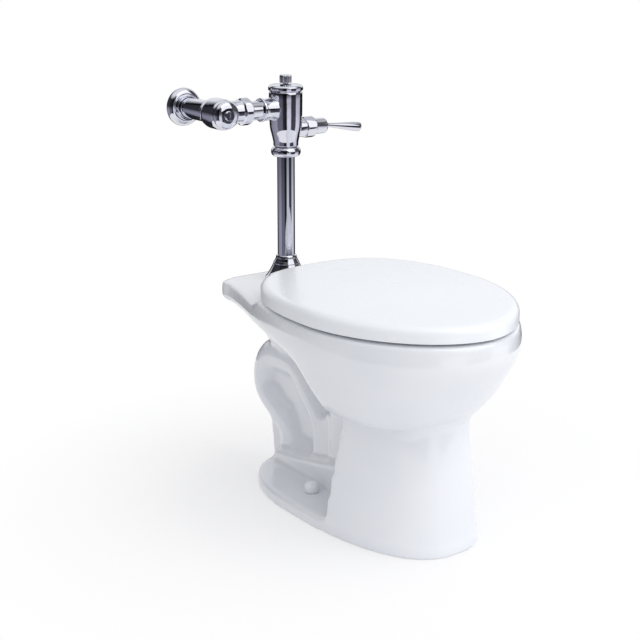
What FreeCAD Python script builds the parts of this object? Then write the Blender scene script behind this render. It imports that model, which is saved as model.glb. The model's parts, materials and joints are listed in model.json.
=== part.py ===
import FreeCAD, Part
import math
import os
import re

import Sketcher
from FreeCAD import Placement, Rotation, Vector

# A floor-standing toilet with an exposed flush valve.
# Millimetres. The origin is the centre of the waste outlet, on the floor. The toilet faces -Y,
# the wall is at +Y, +X is to the right when facing the toilet, and +Z is up.

os.makedirs("parts", exist_ok=True)
doc = FreeCAD.newDocument("toilet")
sheet = doc.addObject("Spreadsheet::Sheet", "sizes")

SIZES = {
    # General clearances and cuts
    "fit_gap": 0.08,
    "overrun": 5,
    # Where things stand
    "rough_in": 305,
    "spud_place": 185,
    "rim_height": 381,
    "deck_drop": 15,
    # Rim and bowl outside
    "rim_half_width": 190,
    "rim_nose": 368,
    "rim_widest": 130,
    "rim_rounding": 7,
    "rim_band": 42,
    "deck_half_width": 114,
    "deck_back": 256,
    "deck_corner": 58,
    "deck_ramp_front": 44,
    "deck_ramp_back": 74,
    "bowl_join_height": 216,
    # Pedestal and foot
    "foot_half_width": 135,
    "foot_front": 307,
    "foot_widest": 10,
    "foot_back": 188,
    "foot_height": 24,
    "foot_rounding": 7,
    "pedestal_back": 128,
    "pedestal_back_lean": 24,
    "pedestal_taper": 23,
    "pedestal_wall": 15,
    # Bowl inside
    "opening_half_width": 116,
    "opening_front": 318,
    "opening_back": 8,
    "opening_widest": 160,
    "rim_lip": 30,
    "basin_half_width": 140,
    "basin_front": 338,
    "basin_back": 24,
    "basin_floor_height": 212,
    # Trapway
    "trap_radius": 35,
    "trap_bore_radius": 27,
    "trap_arch_height": 218,
    "trap_arch_front": 128,
    "trap_arch_back": 236,
    "trap_arch_bend": 52,
    "trap_drop_bend": 40,
    "trap_drop_height": 142,
    "trap_leg_place": 143,
    "trap_leg_height": 86,
    "sump_height": 66,
    "sump_wall": 12,
    "throat_half_width": 56,
    "throat_front": 176,
    "neck_half_width": 34,
    "neck_front": 85,
    "sump_place": 15,
    "outlet_height": 46,
    "elbow_share": 1.03,
    "web_half_width": 28,
    "recess_half_width": 14,
    "web_back": 205,
    "web_height": 128,
    "web_notch": 14,
    "block_half_width": 50,
    "block_back_reach": 21,
    "block_slope_start": 52,
    "block_slope_rise": 9,
    "block_front_rise": 49,
    "sump_block_height": 135,
    "sump_block_foot": 56,
    "sump_block_reach": 63,
    "sump_block_crest": 21,
    "sump_block_rise": 17.5,
    # Outlet and closet bolts
    "horn_radius": 38,
    "flange_recess_radius": 96,
    "flange_recess_depth": 10,
    "bolt_spacing": 152.4,
    "bolt_hole_radius": 6.5,
    "bolt_cap_radius": 12.5,
    "bolt_cap_height": 20,
    "bolt_cap_wall": 1.8,
    "bolt_cap_skirt": 9,
    "cap_base_height": 3,
    # Spud chamber and spud
    "spud_wall": 13,
    "chamber_half_width": 40,
    "chamber_half_length": 32,
    "chamber_depth": 46,
    "duct_half_width": 30,
    "duct_height": 26,
    "spud_hole_radius": 21,
    "spud_radius": 19,
    "spud_flange_radius": 27,
    "spud_flange_height": 3,
    "spud_gasket_height": 3,
    "spud_rise": 27,
    "spud_washer_height": 2,
    "spud_nut_radius": 28,
    "spud_nut_height": 9,
    "slip_gasket_height": 4,
    "slip_nut_radius": 24,
    "slip_nut_height": 20,
    "slip_nut_lip": 4,
    "cover_foot_radius": 39.5,
    "cover_height": 46,
    "cover_wall": 1.4,
    # Flush tube
    "tube_radius": 16,
    "tube_wall": 1.3,
    "tube_flare_radius": 19.8,
    "tube_flare_height": 2,
    "tube_depth": 10,
    "tube_washer_height": 2,
    "tube_nut_radius": 26.8,
    "tube_nut_rounding": 4,
    "tube_nut_lip": 4,
    "breaker_height": 30,
    "breaker_bore_radius": 9,
    # Valve heights: its foot above the floor, the rest from the foot or the top
    "neck_height": 602,
    "valve_length": 110,
    "shoulder_rise": 42,
    "chamber_rise": 53,
    "handle_drop": 13,
    "inlet_drop": 32,
    "piston_headroom": 18,
    # Valve body
    "neck_thread_radius": 20,
    "neck_thread_length": 9,
    "neck_radius": 22.5,
    "valve_radius": 30,
    "chamber_radius": 25,
    "neck_bore_radius": 15.5,
    "cap_thread_radius": 27,
    "cap_thread_length": 10,
    "handle_boss_radius": 16.5,
    "handle_boss_reach": 52,
    "inlet_boss_radius": 19,
    "inlet_boss_reach": 56,
    "inlet_ring_radius": 21,
    "inlet_ring_length": 6,
    "inlet_port_radius": 12,
    "inlet_socket_depth": 20,
    # Valve inside
    "seat_ring_radius": 20,
    "seat_ring_rise": 5,
    "piston_radius": 16,
    "piston_head_radius": 24.2,
    "piston_head_height": 7,
    "cup_height": 4,
    "cup_gap": 0.1,
    "stem_radius": 3,
    "stem_head_radius": 8,
    "stem_head_height": 3,
    "stem_rise": 1.2,
    "stem_tail": 9,
    "stem_play": 7,
    # Top cap and regulating screw
    "cap_radius": 31.2,
    "cap_height": 12,
    "cap_crown": 5,
    "cap_bevel": 3,
    "screw_head_radius": 11,
    "screw_head_height": 15,
    "screw_stem_radius": 5,
    "screw_reach": 14,
    "rib_radius": 1.1,
    "rib_number": 16,
    # Handle
    "handle_nut_reach": 15,
    "handle_nut_lip": 8,
    "handle_nut_radius": 19,
    "nut_bevel": 2,
    "nut_corner_share": 1.04,
    "socket_radius": 14,
    "socket_bore_radius": 11.5,
    "socket_flange_length": 4,
    "socket_length": 34,
    "socket_mouth_radius": 7.8,
    "socket_face": 3,
    "lever_seat": 15,
    "lever_disc_radius": 10,
    "lever_disc_length": 4,
    "lever_root_radius": 3.75,
    "lever_tip_radius": 8.5,
    "lever_length": 80,
    "lever_drop": 9,
    "plunger_radius": 4,
    "plunger_gap": 0.4,
    "plunger_head_radius": 7,
    "plunger_head_length": 5.4,
    "bush_radius": 11,
    "bush_length": 30,
    "plunger_seal_length": 3,
    "plunger_seal_radius": 8,
    "spring_pocket_radius": 8.4,
    "spring_pocket_depth": 14,
    "spring_radius": 6.6,
    "spring_wire_radius": 0.6,
    "spring_length": 10.6,
    "spring_pitch": 2.4,
    # Tailpiece and its nut
    "tailpiece_radius": 16.5,
    "tailpiece_wall": 3.5,
    "tailpiece_depth": 18,
    "tail_seal_depth": 10,
    "tail_seal_radius": 1.2,
    "tail_flange_radius": 19.6,
    "tail_flange_length": 4,
    "tail_nut_radius": 24,
    "tail_nut_reach": 12,
    "tail_nut_lip": 16,
    # Control stop
    "stop_place": 141,
    "stop_radius": 26.5,
    "stop_front_reach": 25,
    "stop_back_reach": 31,
    "stop_front_bevel": 3,
    "stop_cavity_radius": 20,
    "bonnet_depth": 8,
    "stop_cavity_wall": 11,
    "stop_outlet_radius": 20,
    "stop_outlet_reach": 45,
    "stop_port_radius": 12,
    "bonnet_rise": 10,
    "bonnet_radius": 24.5,
    "stop_screw_radius": 5,
    "stop_screw_head_radius": 8.5,
    "stop_screw_head_length": 3,
    "stop_screw_gap": 1,
    "slot_width": 1.8,
    "slot_depth": 1.6,
    "plug_radius": 19,
    "plug_room": 21,
    "plug_length": 8,
    "plug_washer_length": 2,
    "plug_sleeve_radius": 8,
    "plug_sleeve_gap": 3,
    "plug_hole_depth": 6,
    # Supply
    "adapter_radius": 16.8,
    "adapter_bore_radius": 14.35,
    "adapter_bore_length": 40,
    "adapter_gap": 5,
    "adapter_depth": 8,
    "cover_pipe_radius": 18.5,
    "cover_pipe_wall": 1.2,
    "wall_flange_radius": 34,
    "wall_flange_depth": 14,
    "wall_flange_wall": 1.6,
    "wall_flange_hub_radius": 23,
    "wall_flange_hub_length": 8,
    "flange_screw_radius": 2,
    # Lid and seat
    "lid_side_inset": 3,
    "lid_nose_inset": 4,
    "lid_overhang": 14,
    "lid_lift": 4.5,
    "lid_rise": 33,
    "lid_wall": 4.5,
    "lid_rounding": 12,
    "lid_crown": 3,
    "lid_inner_rounding": 8,
    "lid_crown_reach": 70,
    "lid_opening_reach": 18,
    "lid_hinge_opening": 96,
    "ring_side_gap": 3,
    "ring_lift": 4,
    "ring_thickness": 18,
    "ring_hinge_gap": 16,
    "ring_hole_inset": 12,
    "ring_hole_front_inset": 22,
    "ring_hole_back": 22,
    "ring_hole_widest": 150,
    "ring_rounding": 5,
    "bumper_radius": 7,
    "lid_bumper_height": 3,
    "front_bumper_across": 125,
    "front_bumper_along": 250,
    "rear_bumper_across": 150,
    "rear_bumper_along": 10,
    # Hinges
    "hinge_spacing": 140,
    "hinge_place": 100,
    "hinge_rise": 11,
    "hinge_pin_radius": 3,
    "hinge_pin_overhang": 0.6,
    "knuckle_radius": 7.5,
    "post_half_width": 9,
    "post_foot_back_reach": 2,
    "post_foot_front_reach": 22,
    "post_base_height": 7,
    "ear_width": 10,
    "ear_gap": 0.4,
    "ear_length": 40,
    "ear_inset": 1,
    "seat_bolt_radius": 4,
    "seat_bolt_reach": 14,
    "seat_bolt_length": 34,
    "seat_bolt_hole_radius": 7.5,
    "seat_bolt_hole_depth": 42,
    "seat_bolt_head_radius": 6,
    "seat_bolt_head_height": 3,
    "seat_nut_radius": 6.5,
    "seat_nut_height": 6,
}

# Places and sizes that follow from the named ones
DERIVED = {
    "deck_height": "rim_height - deck_drop",
    "valve_top_height": "neck_height + valve_length",
    "shoulder_height": "neck_height + shoulder_rise",
    "chamber_floor": "neck_height + chamber_rise",
    "seat_ring_height": "chamber_floor + seat_ring_rise",
    "handle_height": "chamber_floor - handle_drop",
    "inlet_height": "valve_top_height - inlet_drop",
    "piston_top": "valve_top_height - piston_headroom",
    "handle_nut_start": "handle_boss_reach - handle_nut_reach",
    "handle_nut_end": "handle_boss_reach + handle_nut_lip",
    "socket_end": "handle_boss_reach + socket_length",
    "lever_pivot": "handle_boss_reach + lever_seat",
    "lever_end": "socket_end + lever_length",
    "plunger_tip": "stem_radius + plunger_gap",
    "bush_start": "handle_boss_reach - bush_length",
    "spring_pocket_start": "handle_boss_reach - spring_pocket_depth",
    "tailpiece_end": "inlet_boss_reach - tailpiece_depth",
    "tail_seal_place": "inlet_boss_reach - tail_seal_depth",
    "tail_face": "stop_place - stop_outlet_reach",
    "tail_flange_start": "tail_face - tail_flange_length",
    "tail_nut_start": "tail_flange_start - tail_nut_reach",
    "tail_nut_end": "tail_face + tail_nut_lip",
    "stop_front": "spud_place - stop_front_reach",
    "stop_back": "spud_place + stop_back_reach",
    "bonnet_front": "stop_front - bonnet_rise",
    "stop_cavity_front": "stop_front + bonnet_depth",
    "stop_cavity_back": "stop_back - stop_cavity_wall",
    "plug_front": "stop_cavity_back - plug_room",
    "plug_sleeve_front": "stop_cavity_front + plug_sleeve_gap",
    "plug_hole_end": "plug_front + plug_hole_depth",
    "stop_screw_end": "plug_hole_end - stop_screw_gap",
    "adapter_end": "rough_in - adapter_gap",
    "lid_half_width": "rim_half_width - lid_side_inset",
    "lid_nose": "rim_nose - lid_nose_inset",
    "lid_back": "hinge_place + lid_overhang",
    "lid_top": "rim_height + lid_rise",
    "lid_opening_front": "hinge_place - lid_opening_reach",
    "ring_back": "hinge_place - ring_hinge_gap",
    "ring_hole_half_width": "opening_half_width - ring_hole_inset",
    "ring_hole_front": "opening_front - ring_hole_front_inset",
    "ring_top": "rim_height + ring_lift + ring_thickness",
    "hinge_height": "rim_height + hinge_rise",
    "post_foot_back": "hinge_place - post_foot_back_reach",
    "post_foot_front": "hinge_place - post_foot_front_reach",
    "ear_root": "hinge_place - ear_length",
    "seat_bolt_place": "hinge_place - seat_bolt_reach",
}

for row, (alias, number) in enumerate(SIZES.items(), start=1):
    sheet.set(f"A{row}", alias)
    sheet.set(f"B{row}", str(number))
    sheet.setAlias(f"B{row}", alias)
doc.recompute()

nodes = []


def spelt(word):
    """A name as the sheet knows it; a derived one as its sum in brackets."""
    name = word.group(0)
    return f"({from_sheet(DERIVED[name])})" if name in DERIVED else "sizes." + name


def from_sheet(text):
    """The same sum with every name pointing into the sheet."""
    return re.sub(r"[a-z][a-z_]*", spelt, text)


def worked_out(text):
    """The number that a sum of names gives, for a sketch's first guess."""
    return float(sheet.evalExpression(from_sheet(text)))


def size(name):
    """The number that a name in the sheet or a derived name stands for."""
    return worked_out(name)


def keep(thing, label):
    """Marks a finished sub-part under its node name."""
    thing.Label = label
    nodes.append(thing)
    return thing


def put(thing, across="0", along="0", up="0", turn=None):
    """Places a sub-part by three sums of sheet names, after an optional turn."""
    if turn is not None:
        thing.Placement = Placement(Vector(), turn)
    for axis, text in (("x", across), ("y", along), ("z", up)):
        if text != "0":
            thing.setExpression(f".Placement.Base.{axis}", from_sheet(text))
    return thing


FACING_LEFT = Rotation(Vector(0, 1, 0), -90)
FACING_RIGHT = Rotation(Vector(0, 1, 0), 90)
FACING_WALL = Rotation(Vector(1, 0, 0), -90)


def new_body(label):
    """An empty body that will be written under its label."""
    body = doc.addObject("PartDesign::Body", label)
    return keep(body, label)


def sketch_on(body, role):
    """A sketch on one of the body's own origin planes."""
    plane = [item for item in body.Origin.OriginFeatures if item.Role == role][0]
    sketch = body.newObject("Sketcher::SketchObject", body.Name + "_sketch")
    sketch.AttachmentSupport = [(plane, "")]
    sketch.MapMode = "FlatFace"
    return sketch


def tie(sketch, kind, edge, point, text):
    """Ties one end of a line to the sketch's centre by a sum of sheet names."""
    if text == "0":
        axis = -2 if kind == "DistanceX" else -1
        sketch.addConstraint(Sketcher.Constraint("PointOnObject", edge, point, axis))
        return
    number = sketch.addConstraint(
        Sketcher.Constraint(kind, -1, 1, edge, point, worked_out(text))
    )
    sketch.setExpression(f"Constraints[{number}]", from_sheet(text))


def outline(body, role, corners):
    """A closed outline whose corners are pairs of sums: distance across, distance up."""
    sketch = sketch_on(body, role)
    places = [Vector(worked_out(across), worked_out(up), 0) for across, up in corners]
    for start, end in zip(places, places[1:] + places[:1]):
        sketch.addGeometry(Part.LineSegment(start, end), False)
    count = len(corners)
    for edge in range(count):
        following = (edge + 1) % count
        sketch.addConstraint(Sketcher.Constraint("Coincident", edge, 2, following, 1))
    for edge, (across, up) in enumerate(corners):
        tie(sketch, "DistanceX", edge, 1, across)
        tie(sketch, "DistanceY", edge, 1, up)
    return sketch


def circle_sketch(body, role, across, up, radius):
    """One circle, its centre and radius tied to the sheet."""
    sketch = sketch_on(body, role)
    centre = Vector(worked_out(across), worked_out(up), 0)
    sketch.addGeometry(Part.Circle(centre, Vector(0, 0, 1), worked_out(radius)), False)
    tie(sketch, "DistanceX", 0, 3, across)
    tie(sketch, "DistanceY", 0, 3, up)
    number = sketch.addConstraint(Sketcher.Constraint("Radius", 0, worked_out(radius)))
    sketch.setExpression(f"Constraints[{number}]", from_sheet(radius))
    return sketch


def spin(body, corners, kind="Revolution"):
    """Turns an outline of (radius, height) corners once about the body's own upright axis."""
    sketch = outline(body, "XZ_Plane", corners)
    feature = body.newObject("PartDesign::" + kind, body.Name + "_" + kind.lower())
    feature.Profile = sketch
    feature.ReferenceAxis = (sketch, ["V_Axis"])
    feature.Angle = 360
    body.Tip = feature
    return feature


def run_out(body, kind, sketch, length, reversed_way=False):
    """Pads or pockets a sketch by a length from the sheet."""
    feature = body.newObject("PartDesign::" + kind, body.Name + "_" + kind.lower())
    feature.Profile = sketch
    feature.setExpression("Length", from_sheet(length))
    feature.Reversed = reversed_way
    body.Tip = feature
    return feature


def turned(label, corners, **place):
    """A turned piece: a body spun from one outline, then put in its place."""
    body = new_body(label)
    spin(body, corners)
    return put(body, **place)


def cylinder(radius, length, base="0"):
    """An upright cylinder whose sizes follow the sheet."""
    thing = doc.addObject("Part::Cylinder", "cylinder")
    thing.setExpression("Radius", from_sheet(radius))
    thing.setExpression("Height", from_sheet(length))
    return put(thing, up=base)


def prism(sides, radius, length, base="0"):
    """An upright prism, corners on the given radius."""
    thing = doc.addObject("Part::Prism", "prism")
    thing.Polygon = sides
    thing.setExpression("Circumradius", from_sheet(radius))
    thing.setExpression("Height", from_sheet(length))
    return put(thing, up=base)


def ring_of(outer_radius, inner_radius, length, base="0"):
    """The four corners of a plain ring's outline."""
    top = f"{base} + {length}" if base != "0" else length
    return [(inner_radius, base), (outer_radius, base), (outer_radius, top), (inner_radius, top)]


def cut(label, main, tool):
    """One piece less another."""
    thing = doc.addObject("Part::Cut", label)
    thing.Base = main
    thing.Tool = tool
    return thing


def common(main, other):
    """What two pieces share."""
    thing = doc.addObject("Part::Common", "shared")
    thing.Base = main
    thing.Tool = other
    return thing


def held_shape(label, shape):
    """A sub-part whose surfaces have no ready feature, made from sheet sizes."""
    thing = doc.addObject("Part::Feature", label)
    thing.Shape = shape
    return keep(thing, label)


# Spud, its seals and the flush tube, all on one upright axis

UNDER_DECK = "(deck_height - spud_wall)"
SPUD_FOOT = "(deck_height - spud_wall - spud_gasket_height - spud_flange_height)"
SPUD_TOP = "(deck_height + spud_rise)"
TUBE_TOP = "(neck_height - tube_washer_height)"
TUBE_HOLE = "tube_radius + fit_gap"
ON_SPUD = "spud_radius + fit_gap"
OVER_SPUD = {"along": "spud_place"}

turned(
    "spud",
    [
        (TUBE_HOLE, SPUD_FOOT),
        ("spud_flange_radius", SPUD_FOOT),
        ("spud_flange_radius", SPUD_FOOT + " + spud_flange_height"),
        ("spud_radius", SPUD_FOOT + " + spud_flange_height"),
        ("spud_radius", SPUD_TOP),
        (TUBE_HOLE, SPUD_TOP),
    ],
    **OVER_SPUD,
)
turned(
    "spud_gasket",
    ring_of("spud_flange_radius", ON_SPUD, "spud_gasket_height",
            UNDER_DECK + " - spud_gasket_height"),
    **OVER_SPUD,
)
turned(
    "spud_washer",
    ring_of("spud_nut_radius", ON_SPUD, "spud_washer_height", "deck_height"),
    **OVER_SPUD,
)

spud_nut = cut(
    "spud_nut",
    prism(8, "spud_nut_radius", "spud_nut_height"),
    cylinder(ON_SPUD, "spud_nut_height + 2 * overrun", "-overrun"),
)
keep(put(spud_nut, along="spud_place", up="deck_height + spud_washer_height"), "spud_nut")

turned(
    "spud_slip_gasket",
    ring_of("spud_radius", TUBE_HOLE, "slip_gasket_height", SPUD_TOP),
    **OVER_SPUD,
)

SLIP_TOP = SPUD_TOP + " + slip_gasket_height"
turned(
    "spud_coupling_nut",
    [
        (ON_SPUD, SLIP_TOP + " + slip_nut_lip - slip_nut_height"),
        ("slip_nut_radius", SLIP_TOP + " + slip_nut_lip - slip_nut_height"),
        ("slip_nut_radius", SLIP_TOP),
        ("slip_nut_radius - slip_nut_lip / 2", SLIP_TOP + " + slip_nut_lip"),
        (TUBE_HOLE, SLIP_TOP + " + slip_nut_lip"),
        (TUBE_HOLE, SLIP_TOP),
        (ON_SPUD, SLIP_TOP),
    ],
    **OVER_SPUD,
)

# The cone's outline: share of the spread beyond the tube, share of the height
COVER_SHARES = [(1, 0.09), (0.68, 0.5), (0.45, 0.8), (0.27, 0.94)]


def cover_corner(wide_share, high_share, inwards):
    """One corner of the cone, moved in by the wall for the inside."""
    spread = "(cover_foot_radius - tube_radius)"
    across = f"tube_radius + {wide_share} * {spread} - {inwards} * cover_wall"
    return across, f"deck_height + {high_share} * (cover_height - {inwards} * cover_wall)"


turned(
    "spud_cover",
    [("cover_foot_radius - cover_wall", "deck_height"), ("cover_foot_radius", "deck_height")]
    + [cover_corner(wide, high, 0) for wide, high in COVER_SHARES]
    + [(TUBE_HOLE, "deck_height + cover_height")]
    + [(TUBE_HOLE, "deck_height + cover_height - cover_wall")]
    + [cover_corner(wide, high, 1) for wide, high in reversed(COVER_SHARES)],
    **OVER_SPUD,
)

turned(
    "flush_tube",
    [
        ("tube_radius - tube_wall", "deck_height - tube_depth"),
        ("tube_radius", "deck_height - tube_depth"),
        ("tube_radius", TUBE_TOP + " - tube_flare_height"),
        ("tube_flare_radius", TUBE_TOP + " - tube_flare_height"),
        ("tube_flare_radius", TUBE_TOP),
        ("tube_radius - tube_wall", TUBE_TOP),
    ],
    **OVER_SPUD,
)
turned(
    "vacuum_breaker",
    ring_of("tube_radius - tube_wall", "breaker_bore_radius", "breaker_height",
            TUBE_TOP + " - breaker_height"),
    **OVER_SPUD,
)
turned(
    "tube_washer",
    ring_of("tube_flare_radius", "neck_bore_radius", "tube_washer_height", TUBE_TOP),
    **OVER_SPUD,
)

NUT_FOOT = TUBE_TOP + " - tube_flare_height - tube_nut_lip"
NUT_HEAD = "neck_height + neck_thread_length"
turned(
    "tube_coupling_nut",
    [
        (TUBE_HOLE, NUT_FOOT),
        ("tube_nut_radius - tube_nut_rounding", NUT_FOOT),
        ("tube_nut_radius", NUT_FOOT + " + tube_nut_rounding"),
        ("tube_nut_radius", NUT_HEAD + " - tube_nut_rounding"),
        ("tube_nut_radius - tube_nut_rounding", NUT_HEAD),
        ("neck_thread_radius + fit_gap", NUT_HEAD),
        ("neck_thread_radius + fit_gap", TUBE_TOP + " - tube_flare_height"),
        (TUBE_HOLE, TUBE_TOP + " - tube_flare_height"),
    ],
    **OVER_SPUD,
)

# Valve body: a turned shell with a boss for the handle and a boss for the supply

# The shoulder's outline: share of the widening, share of the rise from the neck
SHOULDER_SHARES = [(0, 0.15), (0.3, 0.45), (0.75, 0.78)]

valve = new_body("valve_body")
spin(
    valve,
    [
        ("0", "neck_height"),
        ("neck_thread_radius", "neck_height"),
        ("neck_thread_radius", NUT_HEAD),
    ]
    + [("neck_radius", NUT_HEAD)]
    + [
        (
            f"neck_radius + {wide} * (valve_radius - neck_radius)",
            f"{NUT_HEAD} + {high} * (shoulder_height - neck_height - neck_thread_length)",
        )
        for wide, high in SHOULDER_SHARES
    ]
    + [
        ("valve_radius", "shoulder_height"),
        ("valve_radius", "valve_top_height"),
        ("0", "valve_top_height"),
    ],
)


def sideways(body, kind, radius, length, height, start="0", along="0", right=True):
    """A round boss or bore square to the upright axis, from a start to an end distance."""
    sketch = circle_sketch(body, "YZ_Plane", along, height, radius)
    if start != "0":
        sign = "" if right else "-"
        sketch.setExpression(".AttachmentOffset.Base.z", from_sheet(f"{sign}({start})"))
    reversed_way = right if kind == "Pocket" else not right
    return run_out(body, kind, sketch, length, reversed_way)


sideways(valve, "Pad", "handle_boss_radius", "handle_boss_reach", "handle_height")
sideways(valve, "Pad", "inlet_boss_radius", "inlet_boss_reach", "inlet_height", right=False)
sideways(valve, "Pad", "inlet_ring_radius", "inlet_ring_length", "inlet_height",
         start="inlet_boss_reach - inlet_ring_length", right=False)
spin(
    valve,
    [
        ("0", "neck_height - overrun"),
        ("neck_bore_radius", "neck_height - overrun"),
        ("neck_bore_radius", "chamber_floor"),
        ("chamber_radius", "chamber_floor"),
        ("chamber_radius", "valve_top_height - cap_thread_length"),
        ("cap_thread_radius", "valve_top_height - cap_thread_length"),
        ("cap_thread_radius", "valve_top_height + overrun"),
        ("0", "valve_top_height + overrun"),
    ],
    kind="Groove",
)
sideways(valve, "Pocket", "plunger_seal_radius + fit_gap", "handle_boss_reach", "handle_height")
sideways(valve, "Pocket", "bush_radius + fit_gap", "handle_boss_reach", "handle_height",
         start="bush_start")
sideways(valve, "Pocket", "inlet_port_radius", "inlet_boss_reach", "inlet_height", right=False)
sideways(valve, "Pocket", "tailpiece_radius + fit_gap", "inlet_boss_reach", "inlet_height",
         start="inlet_boss_reach - inlet_socket_depth", right=False)
put(valve, **OVER_SPUD)

turned(
    "valve_seat",
    ring_of("seat_ring_radius", "neck_bore_radius", "seat_ring_rise", "chamber_floor"),
    **OVER_SPUD,
)

HEAD_FOOT = "(piston_top - piston_head_height)"
turned(
    "piston",
    [
        ("stem_play", "seat_ring_height"),
        ("seat_ring_radius", "seat_ring_height"),
        ("seat_ring_radius", "seat_ring_height + cup_height"),
        ("piston_radius", "seat_ring_height + cup_height"),
        ("piston_radius", HEAD_FOOT),
        ("piston_head_radius", HEAD_FOOT),
        ("piston_head_radius", "piston_top"),
        ("stem_radius + fit_gap", "piston_top"),
    ],
    **OVER_SPUD,
)
turned(
    "piston_cup",
    ring_of("chamber_radius - cup_gap", "piston_radius", "cup_height",
            HEAD_FOOT + " - cup_height"),
    **OVER_SPUD,
)
turned(
    "relief_stem",
    [
        ("0", "handle_height - stem_tail"),
        ("stem_radius", "handle_height - stem_tail"),
        ("stem_radius", "piston_top + stem_rise"),
        ("stem_head_radius", "piston_top + stem_rise"),
        ("stem_head_radius", "piston_top + stem_rise + stem_head_height"),
        ("0", "piston_top + stem_rise + stem_head_height"),
    ],
    **OVER_SPUD,
)

# Top cap and the regulating screw

CAP_TOP = "(valve_top_height + cap_height)"
turned(
    "top_cap",
    [
        ("chamber_radius + cup_gap", "valve_top_height - cap_thread_length"),
        ("cap_thread_radius - fit_gap", "valve_top_height - cap_thread_length"),
        ("cap_thread_radius - fit_gap", "valve_top_height"),
        ("cap_radius", "valve_top_height"),
        ("cap_radius", CAP_TOP + " - cap_bevel"),
        ("cap_radius - cap_bevel", CAP_TOP),
        ("screw_stem_radius + fit_gap", CAP_TOP),
        ("screw_stem_radius + fit_gap", "valve_top_height + cap_crown"),
        ("chamber_radius + cup_gap", "valve_top_height + cap_crown"),
    ],
    **OVER_SPUD,
)

screw = new_body("regulating_screw")
spin(
    screw,
    [
        ("0", CAP_TOP + " - screw_reach"),
        ("screw_stem_radius", CAP_TOP + " - screw_reach"),
        ("screw_stem_radius", CAP_TOP),
        ("screw_head_radius", CAP_TOP),
        ("screw_head_radius", CAP_TOP + " + screw_head_height - rib_radius"),
        ("screw_head_radius - rib_radius", CAP_TOP + " + screw_head_height"),
        ("0", CAP_TOP + " + screw_head_height"),
    ],
)
flute_sketch = circle_sketch(screw, "XY_Plane", "screw_head_radius", "0", "rib_radius")
flute_sketch.setExpression(".AttachmentOffset.Base.z", from_sheet(CAP_TOP))
flute = run_out(screw, "Pocket", flute_sketch, "screw_head_height + overrun", True)
flutes = screw.newObject("PartDesign::PolarPattern", "flutes")
flutes.Originals = [flute]
flutes.Axis = (flute_sketch, ["N_Axis"])
flutes.Angle = 360
flutes.setExpression("Occurrences", from_sheet("rib_number"))
screw.Tip = flutes
put(screw, **OVER_SPUD)

# Handle, turned about an axis that points right

AT_HANDLE = {"along": "spud_place", "up": "handle_height", "turn": FACING_RIGHT}
HANDLE_NUT_BORE = "handle_boss_radius + fit_gap"
SOCKET_FLANGE_END = "handle_boss_reach + socket_flange_length"


def faceted(label, sides, prism_radius, corners, start, length, **place):
    """A turned nut with flats: the turned piece trimmed by a prism on the same axis."""
    body = doc.addObject("PartDesign::Body", label + "_turned")
    spin(body, corners)
    nut = common(prism(sides, prism_radius, length, start), body)
    return keep(put(nut, **place), label)


faceted(
    "handle_nut",
    8,
    "handle_nut_radius * nut_corner_share",
    [
        (HANDLE_NUT_BORE, "handle_nut_start"),
        ("handle_nut_radius - nut_bevel", "handle_nut_start"),
        ("handle_nut_radius", "handle_nut_start + nut_bevel"),
        ("handle_nut_radius", "handle_nut_end - nut_bevel"),
        ("handle_nut_radius - 2 * nut_bevel", "handle_nut_end"),
        ("socket_radius + fit_gap", "handle_nut_end"),
        ("socket_radius + fit_gap", SOCKET_FLANGE_END),
        (HANDLE_NUT_BORE, SOCKET_FLANGE_END),
    ],
    "handle_nut_start",
    "handle_nut_end - handle_nut_start",
    **AT_HANDLE,
)
turned(
    "handle_socket",
    [
        ("socket_bore_radius", "handle_boss_reach"),
        ("handle_boss_radius", "handle_boss_reach"),
        ("handle_boss_radius", SOCKET_FLANGE_END),
        ("socket_radius", SOCKET_FLANGE_END),
        ("socket_radius", "socket_end - socket_face"),
        ("socket_radius - socket_face", "socket_end"),
        ("socket_mouth_radius", "socket_end"),
        ("socket_mouth_radius", "socket_end - socket_face"),
        ("socket_bore_radius", "socket_end - socket_face"),
    ],
    **AT_HANDLE,
)
turned(
    "plunger_bush",
    [
        ("plunger_radius + fit_gap", "bush_start"),
        ("bush_radius", "bush_start"),
        ("bush_radius", "handle_boss_reach"),
        ("spring_pocket_radius", "handle_boss_reach"),
        ("spring_pocket_radius", "spring_pocket_start"),
        ("plunger_radius + fit_gap", "spring_pocket_start"),
    ],
    **AT_HANDLE,
)
turned(
    "plunger_seal",
    ring_of("plunger_seal_radius", "plunger_radius + fit_gap", "plunger_seal_length",
            "bush_start - plunger_seal_length"),
    **AT_HANDLE,
)

PLUNGER_END = "(lever_pivot - lever_disc_length / 2 - fit_gap)"
turned(
    "plunger",
    [
        ("0", "plunger_tip"),
        ("plunger_radius", "plunger_tip"),
        ("plunger_radius", PLUNGER_END + " - plunger_head_length"),
        ("plunger_head_radius", PLUNGER_END + " - plunger_head_length"),
        ("plunger_head_radius", PLUNGER_END),
        ("0", PLUNGER_END),
    ],
    **AT_HANDLE,
)


def handle_spring():
    """A coil of round wire that goes round the plunger, its start at the shape's origin."""
    rise = size("spring_length") - 2 * size("spring_wire_radius")
    coil = Part.makeHelix(size("spring_pitch"), rise, size("spring_radius"))
    section = Part.makeCircle(
        size("spring_wire_radius"), Vector(size("spring_radius"), 0, 0), Vector(0, 1, 0)
    )
    return Part.Wire(coil.Edges).makePipeShell([Part.Wire(section)], True, True)


SPRING_START = PLUNGER_END + " - plunger_head_length - fit_gap + spring_wire_radius - spring_length"
put(held_shape("plunger_spring", handle_spring()), across=SPRING_START, **AT_HANDLE)


# The arm's flare: share of its length, share of its widening
LEVER_SHARES = [(0, 0), (0.35, 0.18), (0.7, 0.58), (1, 1)]


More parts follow.
